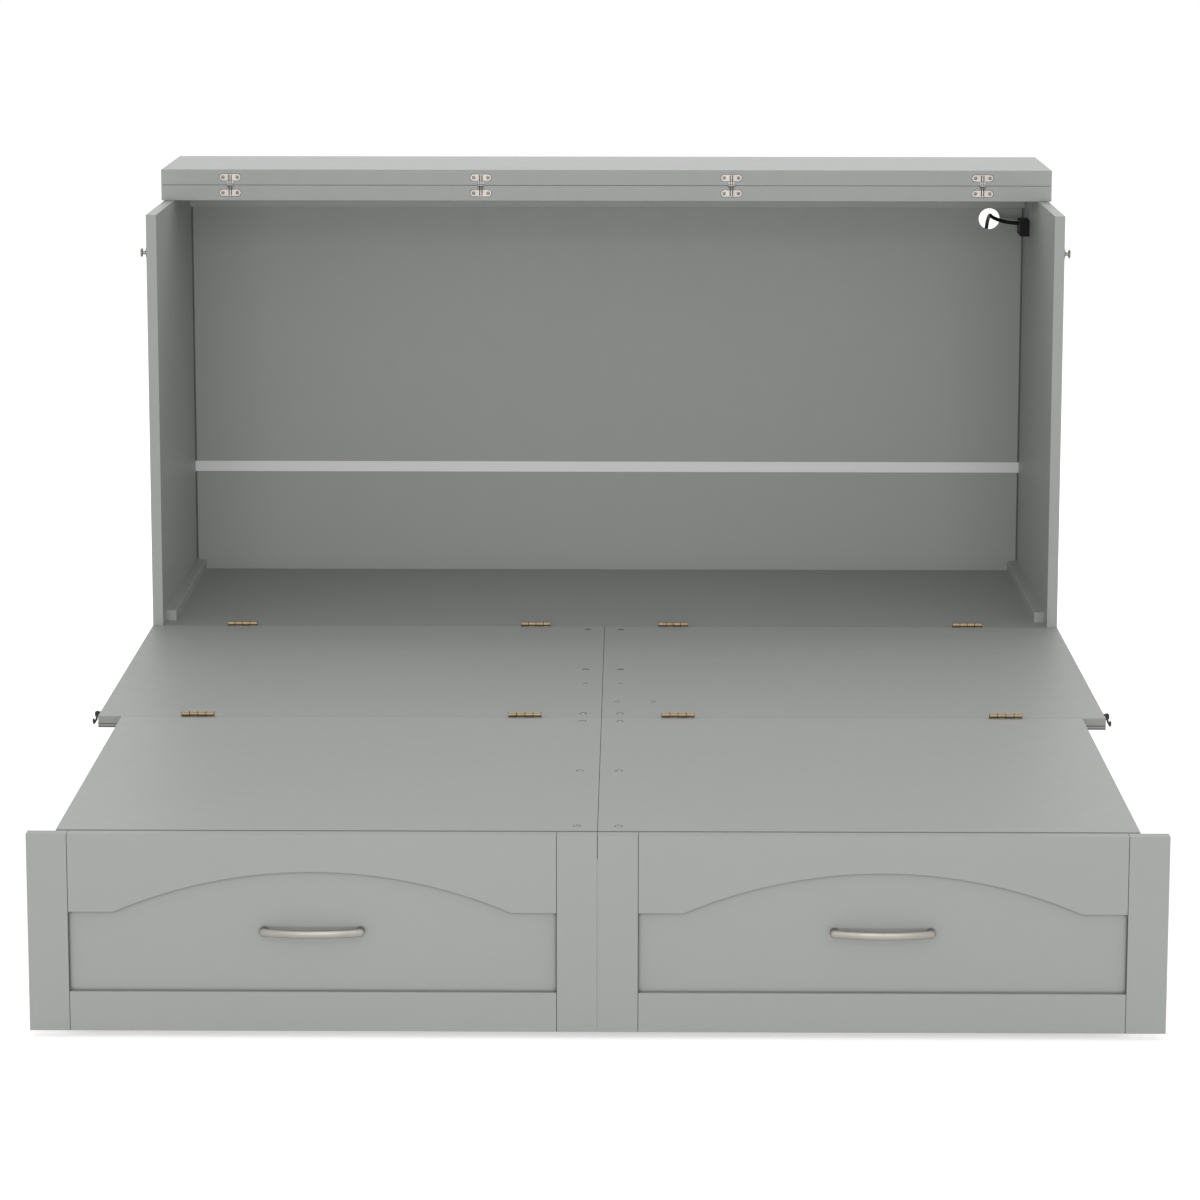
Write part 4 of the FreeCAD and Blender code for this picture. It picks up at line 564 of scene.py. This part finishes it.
# ---- lid ----------------------------------------------------------------------------------------
# Two painted boards, each 28.4 mm thick. The front one is folded back on the rear one, on four
# small table hinges let into the boards' edges. Their plates are satin nickel, held by countersunk
# cross-head screws.
LID_HINGES = (-0.6907, -0.230, 0.230, 0.6907)
LID_PLATE_END = 0.0132      # where a plate's round end starts, from the hinge's middle
LID_PLATE_RIM = 0.0060      # radius inside the rounded-over edge
LID_PLATE_REACH = 1.1       # of that radius, from the plate's middle line towards the seam
LID_PLATE_MIDDLE = 0.0143   # from the seam
LID_HALF_GAP = 0.0002       # half the gap between the two lid halves
SLOT_SHADE_DEPTH = 0.0003      # painted shade starts this far under the plates' faces
SCREW_DEPTH = 0.0003        # of the screw heads' rims under the plates' faces
SCREW_RADIUS = 0.0029
lid_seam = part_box("lid_front_half")[0].z - LID_HALF_GAP
lid_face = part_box("lid_rear_half")[0].y


def satin_nickel():
    """Satin nickel plates, with painted shade in the slots and on the rolled edge."""
    material = plated("satin_nickel", (162, 158, 153), (148, 143, 138), 0.30)
    place = Wire(material.node_tree).node("TexCoord", output="Object")
    hinge_gap, hinge_middle = LID_HINGES[3] - LID_HINGES[2], (LID_HINGES[3] + LID_HINGES[2]) / 2
    along = abs(abs(abs(axis_of(place, "X")) - hinge_middle) - hinge_gap / 2)
    past = (along - LID_PLATE_END).math("MAXIMUM", 0.0)
    rise = abs(axis_of(place, "Z") - lid_seam) - LID_PLATE_MIDDLE
    edge = past * past + rise * rise > LID_PLATE_RIM ** 2
    on_plate = rise > -LID_PLATE_RIM * LID_PLATE_REACH
    slot_shade = axis_of(place, "Y") > lid_face + SLOT_SHADE_DEPTH
    # painted shade in the slots and round the rolled edge
    return darkened(material, slot_shade.math("MAXIMUM", edge * on_plate), (58, 55, 52))


dress(paint, "lid_rear_half", "lid_front_half")
dress(satin_nickel(), "lid_hinge_fixed_leaves", "lid_hinge_moving_leaves")

screw_steel = plated("screw_steel", (128, 126, 122), (96, 94, 91), 0.30)
for rank, body in ((1, "lid_front"), (-1, "cabinet")):
    row = lid_seam + rank * LID_PLATE_MIDDLE
    screws = [((x + side * LID_PLATE_END, lid_face + SCREW_DEPTH, row), (0, -1, 0))
              for x in LID_HINGES for side in (-1, 1)]
    screw_heads(body + "_hinge_screws", screws, SCREW_RADIUS, screw_steel, body)


# ---- folding platform ---------------------------------------------------------------------------
# Two folding sections, each of two painted boards side by side. The first has a painted frame
# underneath, which is the front of the cabinet when it is shut; the second has plain battens.
# Flat-headed bolts hold them, and brass butt hinges join the sections with their barrels on top.
FRAME_SHADE_LINE = 0.0008         # half of a line of painted shade along the face frame's top and bottom edges
frame_low, frame_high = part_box("middle_face_frame")
# A slightly darker copy of the enamel for the first section: painted shade where it lies nearer the cabinet.
dress(enamel("section_enamel_shaded", (161, 163, 161), (156, 158, 156)),
      "middle_panel_left", "middle_panel_right")
dress(paint, "foot_panel_left", "foot_panel_right")
dress(enamel("frame_enamel", joints=[("Z", frame_low.z + 2 * FRAME_SHADE_LINE, FRAME_SHADE_LINE),
                                     ("Z", frame_high.z - FRAME_SHADE_LINE, FRAME_SHADE_LINE)]),
      "middle_face_frame")
dress(pine_y, "foot_battens")

BOLT_RING = 0.0012          # open round the head, in its counterbore
BOLT_SEAT = 0.0011          # under the board's face
BOLT_CROWN = 0.0010         # height over the board's face
BOLT_DOME = [(1, 0.0), (0.9, 0.4), (0.6, 0.85), (0, 1)]      # shares of the head's radius and crown
BOLT_SHANK = 0.5            # share of the hole's radius
LARGE_HOLE = 0.005          # radius from which a bolt has the large socket
LARGE_SOCKET = 0.0019
SMALL_SOCKET = 0.0013
board_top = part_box("foot_panel_left")[1].z
bolt_metal = plated("dull_nickel_bolts", (150, 151, 149), (132, 134, 132), 0.24)
for name, body in (("middle_bolts", "middle_section"), ("foot_bolts", "foot_section")):
    bolts, sockets = bmesh.new(), bmesh.new()
    for low, high in solids_of(name):
        hole = (high.x - low.x) / 2
        head = hole - BOLT_RING
        place = Matrix.Translation(((low.x + high.x) / 2, (low.y + high.y) / 2, board_top))
        lathe(bolts, [(0, low.z - board_top), (hole * BOLT_SHANK, low.z - board_top),
                      (hole * BOLT_SHANK, -BOLT_SEAT), (head, -BOLT_SEAT)]
              + [(head * share, BOLT_CROWN * height) for share, height in BOLT_DOME], place)
        key = LARGE_SOCKET if hole > LARGE_HOLE else SMALL_SOCKET
        bmesh.ops.create_cone(sockets, cap_ends=True, segments=6, radius1=key, radius2=key,
                              depth=2 * BOLT_SEAT, matrix=place)
    piece = mesh_object(name + "_turned", bolts, bolt_metal, smooth=False)
    carve(piece, mesh_object(name + "_sockets", sockets, bolt_metal, smooth=False))
    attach(piece, body)
    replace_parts(piece, name)

BUTT_HINGES = (0.1234, 0.651)      # from the bed's middle line
BUTT_LENGTH = 0.053
KNUCKLE = BUTT_LENGTH / 4
KNUCKLE_SHADE_LINE = 0.0006       # half the line of painted shade between two knuckles


def lacquered_brass():
    """Dull brass, with painted shade in the gaps between the barrel's knuckles."""
    material = plated("lacquered_brass", (164, 150, 125), (138, 122, 96), 0.32)
    across = abs(axis_of(Wire(material.node_tree).node("TexCoord", output="Object"), "X"))
    hinge_gap, hinge_middle = BUTT_HINGES[1] - BUTT_HINGES[0], sum(BUTT_HINGES) / 2
    along = (abs(across - hinge_middle) - hinge_gap / 2 + BUTT_LENGTH) / KNUCKLE
    nearest = abs(along - along.math("ROUND"))
    # painted shade: a dark line at each gap between knuckles
    return darkened(material, nearest < KNUCKLE_SHADE_LINE / KNUCKLE, (62, 54, 42))


dress(lacquered_brass(), "rear_hinge_fixed_leaves", "rear_hinge_moving_leaves",
      "middle_hinge_rear_leaves", "middle_hinge_front_leaves")


# ---- leg and hooks ------------------------------------------------------------------------------
# A painted wooden leg swings down from a steel bracket under the first section, and a steel catch
# holds it flat when it is folded. A dark wire hook on each side drops over a stud on the cabinet
# when the front is shut.
dress(paint, "support_leg")
dress(zinc, "leg_bracket", "leg_catch")
blued = plated("blued_wire", (74, 72, 70), (48, 47, 46), 0.36)
dress(blued, "hook_pivots", "left_hook", "right_hook")
dress(plated("stud_nickel", (176, 174, 170), (128, 126, 122), 0.30), "latch_studs")


# ---- drawers ------------------------------------------------------------------------------------
# Each drawer front is a painted board with stiles, a bottom rail and an arched top rail planted on
# it, and a bowed satin nickel handle screwed on from behind. The box behind is plain wood, on four
# small fixed casters.
handle_metal = plated("brushed_handle", (160, 157, 150), (148, 144, 137), 0.32, (0.05, 1.0, 1.0))
BOW_HALF = 0.0755           # half the length of the bar
BOW_HEIGHT = 0.0118
BOW_THICKNESS = 0.0062
BOW_OUT = 0.0275            # furthest point from the drawer's panel
BOW_RISE = 0.0126           # of the bow between its ends
BOW_FOOT = 0.0690           # feet from the middle
BOW_SQUARE = 0.75           # of the section: 1 is an ellipse, less is squarer
BOW_STEPS = 48
SECTION_STEPS = 24
FOOT_OUTLINE = [(0, 0), (0.0054, 0), (0.0054, 0.0008), (0.0046, 0.0022)]
FOOT_NECK = 0.0044
BACK_SCREW_OUTLINE = [(0, 0), (0.0045, 0), (0.0043, 0.0009), (0.0028, 0.0016), (0, 0.0018)]


def squarer(share):
    """A sine or cosine pushed outwards, which fills out the corners of an oval section."""
    return math.copysign(abs(share) ** BOW_SQUARE, share)


def bow_handle(name, spot, back):
    """A round-ended bar bowed out from the panel on two short feet, with a screw behind each."""
    form = bmesh.new()
    rings = []
    for step in range(BOW_STEPS + 1):
        along = -math.cos(math.pi * step / BOW_STEPS) * BOW_HALF
        past = max(abs(along) - (BOW_HALF - BOW_HEIGHT / 2), 0.0) / (BOW_HEIGHT / 2)
        half = BOW_HEIGHT / 2 * math.sqrt(max(1 - past * past, 0.0))
        depth = BOW_THICKNESS / 2 * math.sqrt(max(1 - past ** 4, 0.0))
        out = BOW_OUT - BOW_THICKNESS / 2 - BOW_RISE * (along / BOW_HALF) ** 2
        ring = []
        for turn in range(SECTION_STEPS):
            angle = 2 * math.pi * turn / SECTION_STEPS
            ring.append(form.verts.new((spot.x + along,
                                        spot.y - out - depth * squarer(math.cos(angle)),
                                        spot.z + half * squarer(math.sin(angle)))))
        rings.append(ring)
    for ring, after in zip(rings, rings[1:]):
        for turn in range(SECTION_STEPS):
            beyond = (turn + 1) % SECTION_STEPS
            form.faces.new((ring[turn], after[turn], after[beyond], ring[beyond]))
    bmesh.ops.remove_doubles(form, verts=form.verts, dist=ONE_CORNER)
    length = BOW_OUT - BOW_THICKNESS / 2 - BOW_RISE * (BOW_FOOT / BOW_HALF) ** 2
    for side in (-1, 1):
        x = spot.x + side * BOW_FOOT
        lathe(form, FOOT_OUTLINE + [(FOOT_NECK, length), (0, length)],
              facing((x, spot.y, spot.z), (0, -1, 0)))
        lathe(form, BACK_SCREW_OUTLINE, facing((x, back, spot.z), (0, 1, 0)))
    bmesh.ops.recalc_face_normals(form, faces=form.faces)
    return mesh_object(name, form, handle_metal)


caster_plate = plated("caster_zinc", (198, 200, 200), (172, 176, 178), 0.32)
STILE_SHADE_LINE = 0.0006         # half of the line of painted shade between a stile and its neighbours
PLANTED_SHADE_REACH = 0.007      # painted shade beside the edges of the planted boards
tire = black_plastic("caster_wheel", (40, 40, 42), 0.44, 600.0)
for side in ("left", "right"):
    inner_stile, outer_stile = solids_of(side + "_drawer_stiles")
    joints = [("X", abs(inner_stile[1].x), STILE_SHADE_LINE), ("X", abs(outer_stile[0].x), STILE_SHADE_LINE)]
    dress(enamel(side + "_drawer_enamel", joints=joints, corner_shade_reach=PLANTED_SHADE_REACH),
          side + "_drawer_stiles", side + "_drawer_arched_rail", side + "_drawer_bottom_rail",
          side + "_drawer_front_panel")
    low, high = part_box(side + "_drawer_handle")
    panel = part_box(side + "_drawer_front_panel")
    spot = Vector(((low.x + high.x) / 2, panel[0].y, (low.z + high.z) / 2))
    handle = bow_handle(side + "_bow_handle", spot, panel[1].y)
    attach(handle, side + "_drawer")
    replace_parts(handle, side + "_drawer_handle")
    dress(pine_y, side + "_drawer_box_walls")
    dress(pine_x, side + "_drawer_box_bottom")
    dress(caster_plate, side + "_drawer_caster_forks")
    dress(tire, side + "_drawer_front_wheels", side + "_drawer_rear_wheels")
